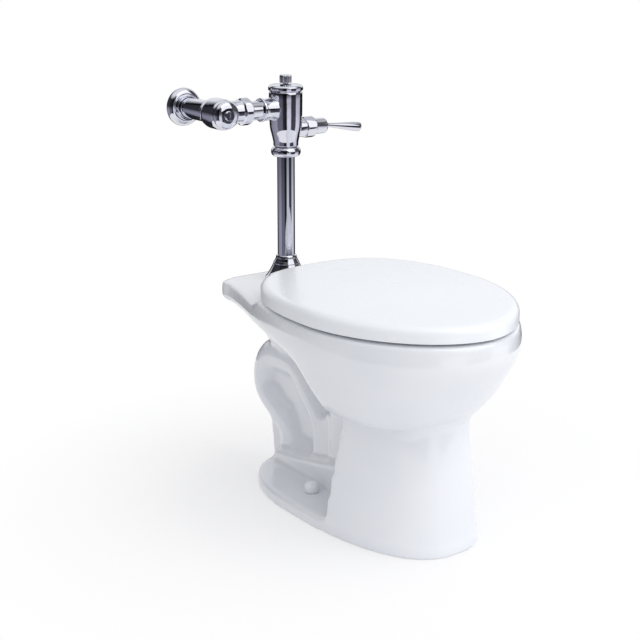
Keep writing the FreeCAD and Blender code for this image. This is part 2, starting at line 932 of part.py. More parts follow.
def lever_shape():
    """A disc in the socket, a thin root, and an arm that droops a little as it flares."""
    pivot = size("lever_pivot")
    half_disc = size("lever_disc_length") / 2
    root = size("lever_root_radius")
    bend = size("socket_end") + root
    along = Vector(0, 0, 1)
    disc = Part.makeCylinder(
        size("lever_disc_radius"), 2 * half_disc, Vector(0, 0, pivot - half_disc), along
    )
    neck = Part.makeCylinder(root, bend - pivot, Vector(0, 0, pivot), along)
    joint = Part.makeSphere(root, Vector(0, 0, bend))
    length = size("lever_end") - bend
    arm_way = Vector(size("lever_drop"), 0, length)
    sections = []
    for share, wide_share in LEVER_SHARES:
        radius = root + (size("lever_tip_radius") - root) * wide_share
        centre = Vector(0, 0, bend) + arm_way * share
        sections.append(Part.Wire(Part.makeCircle(radius, centre, arm_way)))
    arm = Part.makeLoft(sections, True)
    return disc.fuse([neck, joint, arm]).removeSplitter()


put(held_shape("flush_lever", lever_shape()), **AT_HANDLE)

# Tailpiece and its nut, turned about an axis that points left

AT_INLET = {"along": "spud_place", "up": "inlet_height", "turn": FACING_LEFT}
TAIL_HOLE = "tailpiece_radius + fit_gap"
TAIL_BORE = "tailpiece_radius - tailpiece_wall"
turned(
    "tailpiece",
    [
        (TAIL_BORE, "tailpiece_end"),
        ("tailpiece_radius", "tailpiece_end"),
        ("tailpiece_radius", "tail_seal_place - 1.5 * tail_seal_radius"),
        (TAIL_HOLE + " - 2 * tail_seal_radius", "tail_seal_place - 1.5 * tail_seal_radius"),
        (TAIL_HOLE + " - 2 * tail_seal_radius", "tail_seal_place + 1.5 * tail_seal_radius"),
        ("tailpiece_radius", "tail_seal_place + 1.5 * tail_seal_radius"),
        ("tailpiece_radius", "tail_flange_start"),
        ("tail_flange_radius", "tail_flange_start"),
        ("tail_flange_radius", "tail_face"),
        (TAIL_BORE, "tail_face"),
    ],
    **AT_INLET,
)

tail_seal = doc.addObject("Part::Torus", "tailpiece_seal")
tail_seal.setExpression("Radius1", from_sheet(TAIL_HOLE + " - tail_seal_radius"))
tail_seal.setExpression("Radius2", from_sheet("tail_seal_radius"))
tail_seal.Placement = Placement(Vector(), FACING_LEFT)
keep(put(tail_seal, "-tail_seal_place", "spud_place", "inlet_height"), "tailpiece_seal")

OUTLET_HOLE = "stop_outlet_radius + fit_gap"
faceted(
    "tailpiece_nut",
    8,
    "tail_nut_radius * nut_corner_share",
    [
        (TAIL_HOLE, "tail_nut_start"),
        ("tail_nut_radius - 2 * nut_bevel", "tail_nut_start"),
        ("tail_nut_radius", "tail_nut_start + nut_bevel"),
        ("tail_nut_radius", "tail_nut_end - nut_bevel"),
        ("tail_nut_radius - nut_bevel", "tail_nut_end"),
        (OUTLET_HOLE, "tail_nut_end"),
        (OUTLET_HOLE, "tail_flange_start"),
        (TAIL_HOLE, "tail_flange_start"),
    ],
    "tail_nut_start",
    "tail_nut_end - tail_nut_start",
    **AT_INLET,
)

# Control stop and supply, turned about an axis that points at the wall

AT_STOP = {"across": "-stop_place", "up": "inlet_height", "turn": FACING_WALL}
stop = new_body("stop_body")
spin(
    stop,
    [
        ("0", "stop_front"),
        ("stop_radius - stop_front_bevel", "stop_front"),
        ("stop_radius", "stop_front + stop_front_bevel"),
        ("stop_radius", "stop_back - stop_front_bevel"),
        ("stop_radius - stop_front_bevel", "stop_back"),
        ("0", "stop_back"),
    ],
)
sideways(stop, "Pad", "stop_outlet_radius", "stop_outlet_reach", "spud_place")
spin(
    stop,
    [
        ("0", "stop_front - overrun"),
        ("stop_cavity_radius", "stop_front - overrun"),
        ("stop_cavity_radius", "stop_cavity_back"),
        ("inlet_port_radius", "stop_cavity_back"),
        ("inlet_port_radius", "stop_back - adapter_depth"),
        ("adapter_radius + fit_gap", "stop_back - adapter_depth"),
        ("adapter_radius + fit_gap", "stop_back + overrun"),
        ("0", "stop_back + overrun"),
    ],
    kind="Groove",
)
sideways(stop, "Pocket", "stop_port_radius", "stop_place", "spud_place")
put(stop, **AT_STOP)

# The bonnet's dome: share of its radius, share of its rise
BONNET_SHARES = [(1, 0.25), (0.93, 0.6), (0.78, 0.88)]
turned(
    "stop_bonnet",
    [("stop_screw_radius + fit_gap", "bonnet_front")]
    + [("stop_screw_head_radius + 2 * fit_gap", "bonnet_front")]
    + [
        (
            f"bonnet_radius * {wide}",
            f"stop_front - {high} * (stop_front - bonnet_front)",
        )
        for wide, high in reversed(BONNET_SHARES)
    ]
    + [
        ("bonnet_radius", "stop_front"),
        ("stop_cavity_radius - fit_gap", "stop_front"),
        ("stop_cavity_radius - fit_gap", "stop_cavity_front"),
        ("stop_screw_radius + fit_gap", "stop_cavity_front"),
    ],
    **AT_STOP,
)

stop_screw = new_body("stop_screw")
spin(
    stop_screw,
    [
        ("0", "bonnet_front - stop_screw_head_length"),
        ("stop_screw_head_radius", "bonnet_front - stop_screw_head_length"),
        ("stop_screw_head_radius", "bonnet_front"),
        ("stop_screw_radius", "bonnet_front"),
        ("stop_screw_radius", "stop_screw_end"),
        ("0", "stop_screw_end"),
    ],
)
slot = outline(
    stop_screw,
    "XZ_Plane",
    [
        ("-slot_width / 2", "bonnet_front - stop_screw_head_length - overrun"),
        ("slot_width / 2", "bonnet_front - stop_screw_head_length - overrun"),
        ("slot_width / 2", "bonnet_front - stop_screw_head_length + slot_depth"),
        ("-slot_width / 2", "bonnet_front - stop_screw_head_length + slot_depth"),
    ],
)
slot_cut = run_out(stop_screw, "Pocket", slot, "2 * stop_screw_head_radius + 2 * overrun")
slot_cut.Midplane = True
put(stop_screw, **AT_STOP)

turned(
    "stop_plug",
    [
        ("stop_screw_radius + fit_gap", "plug_sleeve_front"),
        ("plug_sleeve_radius", "plug_sleeve_front"),
        ("plug_sleeve_radius", "plug_front"),
        ("plug_radius", "plug_front"),
        ("plug_radius", "plug_front + plug_length"),
        ("0", "plug_front + plug_length"),
        ("0", "plug_hole_end"),
        ("stop_screw_radius + fit_gap", "plug_hole_end"),
    ],
    **AT_STOP,
)
turned(
    "stop_washer",
    [
        ("0", "plug_front + plug_length"),
        ("stop_cavity_radius - stop_front_bevel", "plug_front + plug_length"),
        ("stop_cavity_radius - stop_front_bevel",
         "plug_front + plug_length + plug_washer_length"),
        ("0", "plug_front + plug_length + plug_washer_length"),
    ],
    **AT_STOP,
)

turned(
    "supply_adapter",
    [
        ("inlet_port_radius", "stop_back - adapter_depth"),
        ("adapter_radius", "stop_back - adapter_depth"),
        ("adapter_radius", "adapter_end"),
        ("adapter_bore_radius", "adapter_end"),
        ("adapter_bore_radius", "adapter_end - adapter_bore_length"),
        ("inlet_port_radius", "adapter_end - adapter_bore_length"),
    ],
    **AT_STOP,
)
turned(
    "cover_pipe",
    ring_of("cover_pipe_radius", "cover_pipe_radius - cover_pipe_wall",
            "rough_in - stop_back", "stop_back"),
    **AT_STOP,
)

FLANGE_FRONT = "(rough_in - wall_flange_depth)"
# The dome's outline: share of the spread beyond the hub, share of the depth from the wall
DOME_SHARES = [(1, 0.14), (0.86, 0.5), (0.55, 0.82)]


def dome_corner(wide_share, deep_share, inwards):
    """One corner of the wall flange's dome, moved in by the wall for the inside."""
    spread = "(wall_flange_radius - wall_flange_hub_radius)"
    across = f"wall_flange_hub_radius + {wide_share} * {spread} - {inwards} * wall_flange_wall"
    deep = f"rough_in - {deep_share} * (wall_flange_depth - {inwards} * wall_flange_wall)"
    return across, deep


flange_body = doc.addObject("PartDesign::Body", "wall_flange_turned")
PIPE_HOLE = "cover_pipe_radius + fit_gap"
spin(
    flange_body,
    [
        (PIPE_HOLE, FLANGE_FRONT + " - wall_flange_hub_length"),
        ("wall_flange_hub_radius", FLANGE_FRONT + " - wall_flange_hub_length"),
        ("wall_flange_hub_radius", FLANGE_FRONT),
    ]
    + [dome_corner(wide, deep, 0) for wide, deep in reversed(DOME_SHARES)]
    + [
        ("wall_flange_radius", "rough_in"),
        ("wall_flange_radius - wall_flange_wall", "rough_in"),
    ]
    + [dome_corner(wide, deep, 1) for wide, deep in DOME_SHARES]
    + [(PIPE_HOLE, FLANGE_FRONT + " + wall_flange_wall")],
)


def screw_blank(radius):
    """A small cylinder across the flange's hub, on the side that faces left."""
    blank = doc.addObject("Part::Cylinder", "screw_blank")
    blank.setExpression("Radius", from_sheet(radius))
    blank.setExpression("Height", from_sheet("wall_flange_hub_radius - cover_pipe_radius + overrun"))
    blank.Placement = Placement(Vector(), FACING_LEFT)
    return blank


flange_hole = put(screw_blank("flange_screw_radius + fit_gap"), "-cover_pipe_radius", "0",
                  FLANGE_FRONT + " - wall_flange_hub_length / 2")
wall_flange = cut("wall_flange", flange_body, flange_hole)
keep(put(wall_flange, **AT_STOP), "wall_flange")

flange_screw = doc.addObject("Part::Cylinder", "flange_screw")
flange_screw.setExpression("Radius", from_sheet("flange_screw_radius"))
flange_screw.setExpression(
    "Height", from_sheet("wall_flange_hub_radius - cover_pipe_radius - fit_gap + slot_depth")
)
flange_screw.Placement = Placement(Vector(), FACING_LEFT)
keep(
    put(
        flange_screw,
        "-stop_place - cover_pipe_radius - fit_gap",
        FLANGE_FRONT + " - wall_flange_hub_length / 2",
        "inlet_height",
    ),
    "flange_screw",
)


# Bowl: one china casting. Its outlines are closed curves seen from above, widest line first.

# The powers of the outlines' superellipse quarters: two makes an ellipse, more is squarer
RIM_POWER = 1.85
LID_BACK_POWER = 2.6
BOWL_POWER = 2.31
BACK_POWER = 2.21
FOOT_POWER = 2.38
CORNER_POWER = 4
SIDE_POWER = 1.25
# Steps of an outline's front and back quarters and of a rounded edge; degree of smooth lofts
FRONT_STEPS = 8
BACK_STEPS = 5
EDGE_STEPS = 4
LOFT_DEGREE = 3


def quarter(half_width, start, reach, power, steps, base=0.0):
    """Points from the widest line to the far end: a superellipse quarter above a base width."""
    points = []
    for step in range(steps + 1):
        angle = math.pi / 2 * step / steps
        across = base + (half_width - base) * math.cos(angle) ** (2 / power)
        points.append((across, start + reach * math.sin(angle) ** (2 / power)))
    return points


def mirrored_curve(right_side, height):
    """A smooth closed curve through right-hand points, which run from back to front."""
    left_side = [(-across, along) for across, along in reversed(right_side[1:-1])]
    curve = Part.BSplineCurve()
    places = [Vector(across, along, height) for across, along in right_side + left_side]
    count = len(places)
    curve.interpolate(
        Points=places, Parameters=[step / count for step in range(count + 1)], PeriodicFlag=True
    )
    return Part.Wire(curve.toShape())


def egg(half_width, front, widest, back, height, power=BOWL_POWER, back_power=BACK_POWER):
    """A plain egg: two superellipse halves that meet at the widest line."""
    rear = quarter(half_width, -widest, back + widest, back_power, BACK_STEPS)
    nose = quarter(half_width, -widest, widest - front, power, FRONT_STEPS)
    return mirrored_curve(rear[::-1] + nose[1:], height)


# Places along the side between the deck's corner and the widest line
SIDE_SHARES = [0.2, 0.4, 0.6, 0.8]


def keyhole(half_width, front, widest, back_half_width, back, corner, height, power):
    """The rim's egg run back along a swelling side into the square-cornered deck."""
    corner_start = back - corner
    rear = quarter(back_half_width, corner_start, corner, CORNER_POWER, BACK_STEPS)
    side = []
    for share in SIDE_SHARES:
        swing = math.sin(math.pi / 2 * share) ** SIDE_POWER
        across = back_half_width + (half_width - back_half_width) * swing
        side.append((across, corner_start + (-widest - corner_start) * share))
    nose = quarter(half_width, -widest, widest - front, power, FRONT_STEPS)
    return mirrored_curve(rear[::-1] + side + nose, height)


def between(low, high, share):
    """The value a share of the way from low to high."""
    return low + (high - low) * share


def edge_rounding():
    """A quarter turn in equal steps: shares of the radius down from the top and in from the side."""
    angles = [math.pi / 2 * step / EDGE_STEPS for step in range(EDGE_STEPS + 1)]
    return [(1 - math.sin(angle), 1 - math.cos(angle)) for angle in angles]


def round_topped(section, low, high, rounding, more=()):
    """A loft of outlines, each asked for by inset and height, with its top edge rounded."""
    steps = [(0, low)]
    steps += [(inset * rounding, high - drop * rounding) for drop, inset in edge_rounding()]
    return Part.makeLoft([section(*step) for step in steps + list(more)], True, True)


# Bowl outside, top to foot of the bowl: share of the height above the join, then shares of
# half width, front and back, deck width, corner
BOWL_SHARES = [
    (1.0, 1.0, 1.0, 1.0, 1.0, 1.0),
    (0.875, 1.0, 1.0, 1.0, 1.0, 1.0),
    (0.77, 0.985, 0.99, 0.99, 0.96, 0.97),
    (0.66, 0.95, 0.965, 0.955, 0.86, 0.87),
    (0.54, 0.905, 0.933, 0.91, 0.7, 0.74),
    (0.41, 0.855, 0.897, 0.84, 0.54, 0.6),
    (0.27, 0.795, 0.853, 0.66, 0.42, 0.5),
    (0.13, 0.725, 0.8, 0.42, 0.35, 0.43),
    (0.0, 0.645, 0.74, 0.32, 0.3, 0.4),
]


def bowl_section(height, share, wide, far, rear, deck, corner, inset=0.0):
    """One outline of the bowl's outside; its nose is the more pointed the nearer to the rim."""
    return keyhole(
        size("rim_half_width") * wide - inset,
        size("rim_nose") * far - inset,
        size("rim_widest"),
        size("deck_half_width") * deck - inset,
        size("deck_back") * rear - inset,
        size("deck_corner") * corner,
        height,
        between(BOWL_POWER, RIM_POWER, share),
    )


def bowl_outside():
    """The rim, deck and bowl as one loft, under a rim edge rounded by inset outlines."""
    top = size("rim_height")
    join = size("bowl_join_height")
    rounding = size("rim_rounding")
    edge = [
        bowl_section(top - rounding * drop, *BOWL_SHARES[0], inset=rounding * inset)
        for drop, inset in edge_rounding()
    ]
    sections = [
        bowl_section(between(join, top - rounding, share), share, *shares)
        for share, *shares in BOWL_SHARES
    ]
    body = Part.makeLoft(sections, True, False, False, LOFT_DEGREE)
    return body.fuse(Part.makeLoft(edge, True, True))


def side_plate(corners, half_width):
    """A plate of even width across the middle, its outline given as (along, up) corners."""
    face = Part.Face(Part.makePolygon([Vector(-half_width, y, z) for y, z in corners + corners[:1]]))
    return face.extrude(Vector(2 * half_width, 0, 0))


def above_deck():
    """The space over the deck: behind a ramp the deck lies lower than the rim."""
    top = size("rim_height") + size("overrun")
    rear = size("deck_back") + size("overrun")
    corners = [
        (size("deck_ramp_front"), top),
        (size("deck_ramp_front"), size("rim_height")),
        (size("deck_ramp_back"), size("deck_height")),
        (rear, size("deck_height")),
        (rear, top),
    ]
    return side_plate(corners, 2 * size("rim_half_width"))


def foot_section(inset, height):
    """The foot's outline at a height, drawn in by an inset."""
    return egg(
        size("foot_half_width") - inset,
        size("foot_front") - inset,
        size("foot_widest"),
        size("foot_back") - inset,
        height,
        FOOT_POWER,
        BOWL_POWER,
    )


# Heights of the pedestal's outlines between its ends
PEDESTAL_SHARES = [0, 0.25, 0.6, 1]


def pedestal(inset, low, high):
    """The pedestal between two heights: it narrows upwards and ends at a leaning rear face."""
    taper = size("pedestal_taper")
    join = size("bowl_join_height")
    sections = []
    for share in PEDESTAL_SHARES:
        height = between(low, high, share)
        sections.append(foot_section(inset + taper * max(height, 0) / join, height))
    column = Part.makeLoft(sections, True)
    reach = 2 * size("rim_nose")
    lean = size("pedestal_back_lean") * (high - low) / join
    back = -size("pedestal_back") + size("pedestal_back_lean") - inset
    front_space = side_plate(
        [(-reach, low), (back, low), (back - lean, high), (-reach, high)], reach
    )
    return column.common(front_space)


def trap_path():
    """The trapway's centre line in the middle plane, from the sump to the foot of its drop."""
    corners = [
        (-size("sump_place"), size("sump_height")),
        (size("trap_arch_front"), size("trap_arch_height")),
        (size("trap_arch_back"), size("trap_arch_height")),
        (size("trap_arch_back"), size("trap_drop_height")),
        (size("trap_leg_place"), size("trap_leg_height")),
        (size("trap_leg_place"), size("outlet_height")),
    ]
    bends = [size("trap_arch_bend")] * 2 + [size("trap_drop_bend")] * 2
    places = [Vector(0, y, z) for y, z in corners]
    edges = []
    start = places[0]
    for before, corner, after, bend in zip(places, places[1:], places[2:], bends):
        way_in = (corner - before).normalize()
        way_out = (after - corner).normalize()
        tangent = bend * math.tan(way_in.getAngle(way_out) / 2)
        arc_start = corner - way_in * tangent
        arc_end = corner + way_out * tangent
        inward = (way_out - way_in).normalize()
        middle = corner + inward * (math.hypot(bend, tangent) - bend)
        edges.append(Part.LineSegment(start, arc_start).toShape())
        edges.append(Part.Arc(arc_start, middle, arc_end).toShape())
        start = arc_end
    edges.append(Part.LineSegment(start, places[-1]).toShape())
    return Part.Wire(edges)


def trapway(radius, outlet_radius, outlet_end):
    """The trapway's lengths and elbows at one radius, down to the outlet."""
    path = trap_path()
    start = path.OrderedVertexes[0].Point
    first = path.OrderedEdges[0]
    section = Part.Wire(Part.makeCircle(radius, start, first.tangentAt(first.FirstParameter)))
    pipe = path.makePipeShell([section], True, False)
    level = size("outlet_height")
    leg = Vector(0, size("trap_leg_place"), level)
    outlet = Vector(0, 0, level)
    elbow = radius * size("elbow_share")
    return [
        pipe,
        Part.makeSphere(elbow, start),
        Part.makeSphere(elbow, leg),
        Part.makeCylinder(radius, leg.y, outlet, Vector(0, 1, 0)),
        Part.makeSphere(elbow, outlet),
        Part.makeCylinder(outlet_radius, level - outlet_end, Vector(0, 0, outlet_end)),
    ]


def webs():
    """The plates that tie trapway, pedestal and foot together, thinnest between the legs."""
    front = -size("pedestal_back") - size("foot_height")
    ground = size("foot_height") / 2
    leg = size("trap_leg_place")
    back = size("web_back")
    notch = size("web_notch")
    level = size("outlet_height")
    radius = size("trap_radius")
    join = size("bowl_join_height")
    tall = size("web_height")
    under_rim = size("rim_height") - size("rim_band") - radius
    rear_web = side_plate(
        [(leg, ground), (back - notch, ground), (back, tall - notch), (back, tall), (leg, tall)],
        size("web_half_width"),
    )
    recess_web = side_plate(
        [(front, ground), (leg, ground), (size("trap_arch_back"), size("trap_drop_height")),
         (size("trap_arch_back"), size("trap_arch_height")), (back - radius, under_rim),
         (front, under_rim)],
        size("recess_half_width"),
    )
    low_block = side_plate(
        [(front, ground), (leg, ground), (leg + size("block_back_reach"), level),
         (leg - size("block_slope_start"), level + size("block_slope_rise")),
         (-radius, level + radius), (front, level + size("block_front_rise"))],
        size("block_half_width"),
    )
    crest = size("sump_block_height")
    sump_block = side_plate(
        [(front, level), (size("sump_block_foot"), level), (size("sump_block_reach"), crest),
         (size("sump_block_crest"), crest + size("sump_block_rise")), (-radius, join),
         (front, join + radius)],
        radius,
    )
    return [rear_web, recess_web, low_block, sump_block]


# Basin: share of the height, of the half width, of the front and of the back
BASIN_SHARES = [(1, 1, 1, 1), (0.7, 0.9, 0.93, 0.7), (0.35, 0.66, 0.78, 0.3), (0, 0.4, 0.52, 0)]
# Where the basin is widest, as a share of its reach to the front
BASIN_WIDEST_SHARE = 0.5


def throat(spread, top):
    """The way from the basin's floor down to the sump, let out by a spread for its wall."""
    bore = size("trap_bore_radius")
    place = size("sump_place")
    sump = size("sump_height")
    front = size("throat_front")
    rear = bore - place + spread
    middle = (size("basin_floor_height") + sump) / 2
    sections = [
        egg(
            size("throat_half_width") + spread, front + spread, front * BASIN_WIDEST_SHARE, spread,
            top,
        ),
        egg(
            size("neck_half_width") + spread, size("neck_front") + spread, place + bore, rear, middle
        ),
        egg(bore + spread, place + bore + spread, place, rear, sump),
    ]
    return Part.makeLoft(sections, True)


def basin():
    """The water space: the opening in the rim, the wider basin under it and the sump."""
    top = size("rim_height")
    lip = top - size("rim_lip")
    floor = size("basin_floor_height")
    half_width = size("basin_half_width")
    front = size("basin_front")
    back = size("basin_back")
    mouth = Part.makeLoft(
        [
            egg(
                size("opening_half_width"), size("opening_front"), size("opening_widest"),
                size("opening_back"), height,
            )
            for height in (lip - size("overrun"), top + size("overrun"))
        ],
        True,
    )
    sections = []
    for high_share, wide_share, front_share, back_share in BASIN_SHARES:
        sections.append(
            egg(
                half_width * wide_share,
                front * front_share,
                front * front_share * BASIN_WIDEST_SHARE,
                back * back_share,
                between(floor, lip, high_share),
            )
        )
    bowl = Part.makeLoft(sections, True)
    return [mouth, bowl, throat(0, floor + size("overrun"))]


def box(half_width, near, far, low, high):
    """A box across the middle plane between two distances and two heights."""
    corner = Vector(-half_width, near, low)
    return Part.makeBox(2 * half_width, far - near, high - low, corner)


def spud_space():
    """The hole in the deck, the water chamber under it and the duct to the basin."""
    place = size("spud_place")
    under = size("deck_height") - size("spud_wall")
    half = size("chamber_half_length")
    hole = Part.makeCylinder(
        size("spud_hole_radius"), size("spud_wall") + 2 * size("overrun"),
        Vector(0, place, under - size("overrun")),
    )
    chamber = box(
        size("chamber_half_width"), place - half, place + half, under - size("chamber_depth"), under
    )
    duct = box(
        size("duct_half_width"), 0, place, under - size("duct_height"), under
    )
    return [hole, chamber, duct]


def side_holes():
    """The blind holes that hold the seat bolts and the holes for the closet bolts."""
    holes = []
    for side in (-1, 1):
        seat_bolt = Vector(
            side * size("hinge_spacing") / 2,
            size("seat_bolt_place"),
            size("deck_height") - size("seat_bolt_hole_depth"),
        )
        holes.append(
            Part.makeCylinder(
                size("seat_bolt_hole_radius"), size("seat_bolt_hole_depth") + size("overrun"),
                seat_bolt,
            )
        )
        closet_bolt = Vector(side * size("bolt_spacing") / 2, 0, -size("overrun"))
        holes.append(
            Part.makeCylinder(
                size("bolt_hole_radius"), size("foot_height") + 2 * size("overrun"), closet_bolt
            )
        )
    return holes


def bowl_shape():
    """The casting: everything outside fused, then the water spaces and hollows cut away."""
    ground = -size("overrun")
    foot_top = size("foot_height")
    outside = bowl_outside().cut(above_deck())
    column = pedestal(0, foot_top / 2, size("bowl_join_height") + size("trap_radius"))
    trap = trapway(size("trap_radius"), size("trap_radius"), foot_top / 2)
    foot = round_topped(foot_section, 0, foot_top, size("foot_rounding"))
    solid = outside.fuse([column, foot] + webs() + trap)
    recess = Part.makeCylinder(
        size("flange_recess_radius"), size("flange_recess_depth") - ground, Vector(0, 0, ground)
    )
    horn = Part.makeCylinder(size("horn_radius"), foot_top)
    level_run = trapway(size("trap_radius"), size("horn_radius"), 0)
    hollow = pedestal(
        size("pedestal_wall"), ground, size("bowl_join_height") - size("pedestal_wall")
    )
    sump_wall = throat(size("sump_wall"), size("basin_floor_height") + size("overrun"))
    solid = solid.cut([recess, hollow]).fuse([horn, sump_wall] + level_run)
    bore = trapway(size("trap_bore_radius"), size("trap_bore_radius"), ground)
    for space in bore + basin() + spud_space() + side_holes():
        solid = solid.cut(space)
    return solid


bowl = held_shape("bowl", bowl_shape())


# Seat ring and lid: eggs that follow the rim, hinged on one axis behind it

def lid_section(inset, height):
    """The lid's outline at a height, drawn in by an inset."""
    return egg(
        size("lid_half_width") - inset,
        size("lid_nose") - inset,
        size("rim_widest"),
        size("lid_back") - inset,
        height,
        RIM_POWER,
        LID_BACK_POWER,
    )


def lid_cavity_section(inset, height):
    """The outline inside the lid's wall."""
    return lid_section(inset + size("lid_wall"), height)


def ring_section(inset, height):
    """The ring's outer outline, which stands clear of the inside of the lid's wall."""
    inset = inset + size("lid_wall") + size("ring_side_gap")
    return egg(
        size("lid_half_width") - inset,
        size("lid_nose") - inset,
        size("rim_widest"),
        size("ring_back") - inset + size("lid_wall") + size("ring_side_gap"),
        height,
        RIM_POWER,
        LID_BACK_POWER,
    )


def hole_section(spread, height):
    """The outline of the hole in the ring, let out by a spread."""
    return egg(
        size("ring_hole_half_width") + spread,
        size("ring_hole_front") + spread,
        size("ring_hole_widest"),
        spread - size("ring_hole_back"),
        height,
    )


def across_rod(radius, start, end):
    """A round bar on the hinge axis between two distances from the middle plane."""
    foot_point = Vector(start, size("hinge_place"), size("hinge_height"))
    return Part.makeCylinder(radius, end - start, foot_point, Vector(1, 0, 0))


def with_ears(piece, start, near, far, low, high):
    """A piece with an ear on both sides: a block that ends in a round bored for the pin."""
    width = size("ear_width")
    block = Part.makeBox(width, far - near, high - low, Vector(start, near, low))
    right = across_rod(size("knuckle_radius"), start, start + width).fuse(block)
    left = right.mirror(Vector(), Vector(1, 0, 0))
    reach = size("lid_half_width")
    bore = across_rod(size("hinge_pin_radius") + size("fit_gap"), -reach, reach)
    ears = [item.cut(bore) for item in (right, left)]
    return piece.fuse(ears)


def ring_shape():
    """The seat ring: a rounded plate with a rounded hole and two ears outside the posts."""
    low = size("rim_height") + size("ring_lift")
    high = low + size("ring_thickness")
    rounding = size("ring_rounding")
    plate = round_topped(ring_section, low, high, rounding)
    hole = round_topped(hole_section, low, high, rounding)
    start = size("hinge_spacing") / 2 + size("post_half_width") + size("ear_gap")
    inset = size("ear_inset")
    return with_ears(
        plate.cut(hole), start, size("ear_root"), size("hinge_place"), low + inset, high - inset
    )


# The lid's crown beyond its rounded edge: share of the reach inwards, share of the rise
CROWN_SHARES = [(0.2, 0.4), (0.55, 0.8), (1, 1)]


def lid_shape():
    """The lid: a crowned shell over the ring, open behind for the hinge, with two ears."""
    low = size("rim_height") + size("lid_lift")
    top = size("lid_top")
    edge_top = top - size("lid_crown")
    ceiling = size("ring_top") + size("lid_bumper_height")
    crown = [
        (size("lid_rounding") + size("lid_crown_reach") * reach, edge_top + size("lid_crown") * rise)
        for reach, rise in CROWN_SHARES
    ]
    shell = round_topped(lid_section, low, edge_top, size("lid_rounding"), crown)
    inner = round_topped(lid_cavity_section, low, ceiling, size("lid_inner_rounding"))
    rear = box(
        size("lid_hinge_opening"), size("lid_opening_front"), size("lid_back") + size("overrun"),
        low - size("overrun"), ceiling,
    )
    start = size("hinge_spacing") / 2 - size("post_half_width") - size("ear_gap")
    start = start - size("ear_width")
    near = size("hinge_place") - size("knuckle_radius")
    far = size("hinge_place")
    root = ceiling + size("lid_wall") / 2
    return with_ears(shell.cut([inner, rear]), start, near, far, size("hinge_height"), root)


held_shape("seat_ring", ring_shape())
held_shape("seat_lid", lid_shape())


def mirrored(label, right_pieces):
    """A set of pieces and their mirror images across the middle plane, as one sub-part."""
    group = []
    for right in right_pieces:
        left = doc.addObject("Part::Mirroring", label + "_left")
        left.Source = right
        left.Normal = Vector(1, 0, 0)
        group += [right, left]
    both = doc.addObject("Part::Compound", label)
    both.Links = group
    return keep(both, label)


def turned_pair(label, corners, **place):
    """A turned piece on the right and its mirror image on the left."""
    body = doc.addObject("PartDesign::Body", label + "_right")
    spin(body, corners)
    put(body, **place)
    return mirrored(label, [body])


def bumpers(label, length, base):
    """Four round bumpers: two near the front and two near the hinge."""
    right_pieces = []
    for end in ("front", "rear"):
        bumper = cylinder("bumper_radius", length)
        put(bumper, f"{end}_bumper_across", f"-{end}_bumper_along", base)
        right_pieces.append(bumper)
    return mirrored(label, right_pieces)


bumpers("seat_bumpers", "ring_lift", "rim_height")
bumpers("lid_bumpers", "lid_bumper_height", "ring_top")

# Hinge posts, their pins and the bolts that hold them on the deck

AXIS_PLACE = "hinge_place"
POST_START = "(hinge_spacing / 2 - post_half_width)"
POST_FOOT = "(deck_height + post_base_height)"

post = doc.addObject("PartDesign::Body", "hinge_posts_right")
run_out(
    post,
    "Pad",
    outline(
        post,
        "YZ_Plane",
        [
            ("post_foot_front", "deck_height"),
            ("post_foot_back", "deck_height"),
            ("hinge_place + knuckle_radius", "hinge_height"),
            ("hinge_place - knuckle_radius", "hinge_height"),
            ("hinge_place - knuckle_radius", POST_FOOT),
            ("post_foot_front", POST_FOOT),
        ],
    ),
    "2 * post_half_width",
)
sideways(post, "Pad", "knuckle_radius", "2 * post_half_width", "hinge_height", along=AXIS_PLACE)
sideways(post, "Pocket", "hinge_pin_radius", "2 * post_half_width", "hinge_height",
         along=AXIS_PLACE)
bolt_sketch = circle_sketch(
    post, "XY_Plane", "post_half_width", "seat_bolt_place", "seat_bolt_radius + fit_gap"
)
run_out(post, "Pocket", bolt_sketch, "deck_height + post_base_height + overrun", True)
put(post, across=POST_START)
mirrored("hinge_posts", [post])

PIN_LENGTH = "2 * (post_half_width + ear_gap + ear_width + hinge_pin_overhang)"
pin = cylinder("hinge_pin_radius", PIN_LENGTH)
put(
    pin, "hinge_spacing / 2 - (" + PIN_LENGTH + ") / 2", "hinge_place", "hinge_height", FACING_RIGHT
)
mirrored("hinge_pins", [pin])

SEAT_BOLT = {"across": "hinge_spacing / 2", "along": "seat_bolt_place"}
BOLT_END = "(deck_height + post_base_height - seat_bolt_length)"
turned_pair(
    "seat_bolts",
    [
        ("0", BOLT_END),
        ("seat_bolt_radius", BOLT_END),
        ("seat_bolt_radius", POST_FOOT),
        ("seat_bolt_head_radius", POST_FOOT),
        ("seat_bolt_head_radius", POST_FOOT + " + seat_bolt_head_height"),
        ("0", POST_FOOT + " + seat_bolt_head_height"),
    ],
    **SEAT_BOLT,
)
SLEEVE_LENGTH = "seat_bolt_length - post_base_height - seat_nut_height"
turned_pair(
    "seat_bolt_sleeves",
    ring_of("seat_bolt_hole_radius - fit_gap", "seat_bolt_radius + fit_gap", SLEEVE_LENGTH,
            BOLT_END + " + seat_nut_height"),
    **SEAT_BOLT,
)
seat_nut = cut(
    "seat_nut",
    prism(6, "seat_nut_radius", "seat_nut_height"),
    cylinder("seat_bolt_radius + fit_gap", "seat_nut_height + 2 * overrun", "-overrun"),
)
put(seat_nut, "hinge_spacing / 2", "seat_bolt_place", BOLT_END)
mirrored("seat_bolt_nuts", [seat_nut])

# Caps over the closet bolts

CLOSET_BOLT = {"across": "bolt_spacing / 2", "up": "foot_height"}
CAP_STEPS = 5


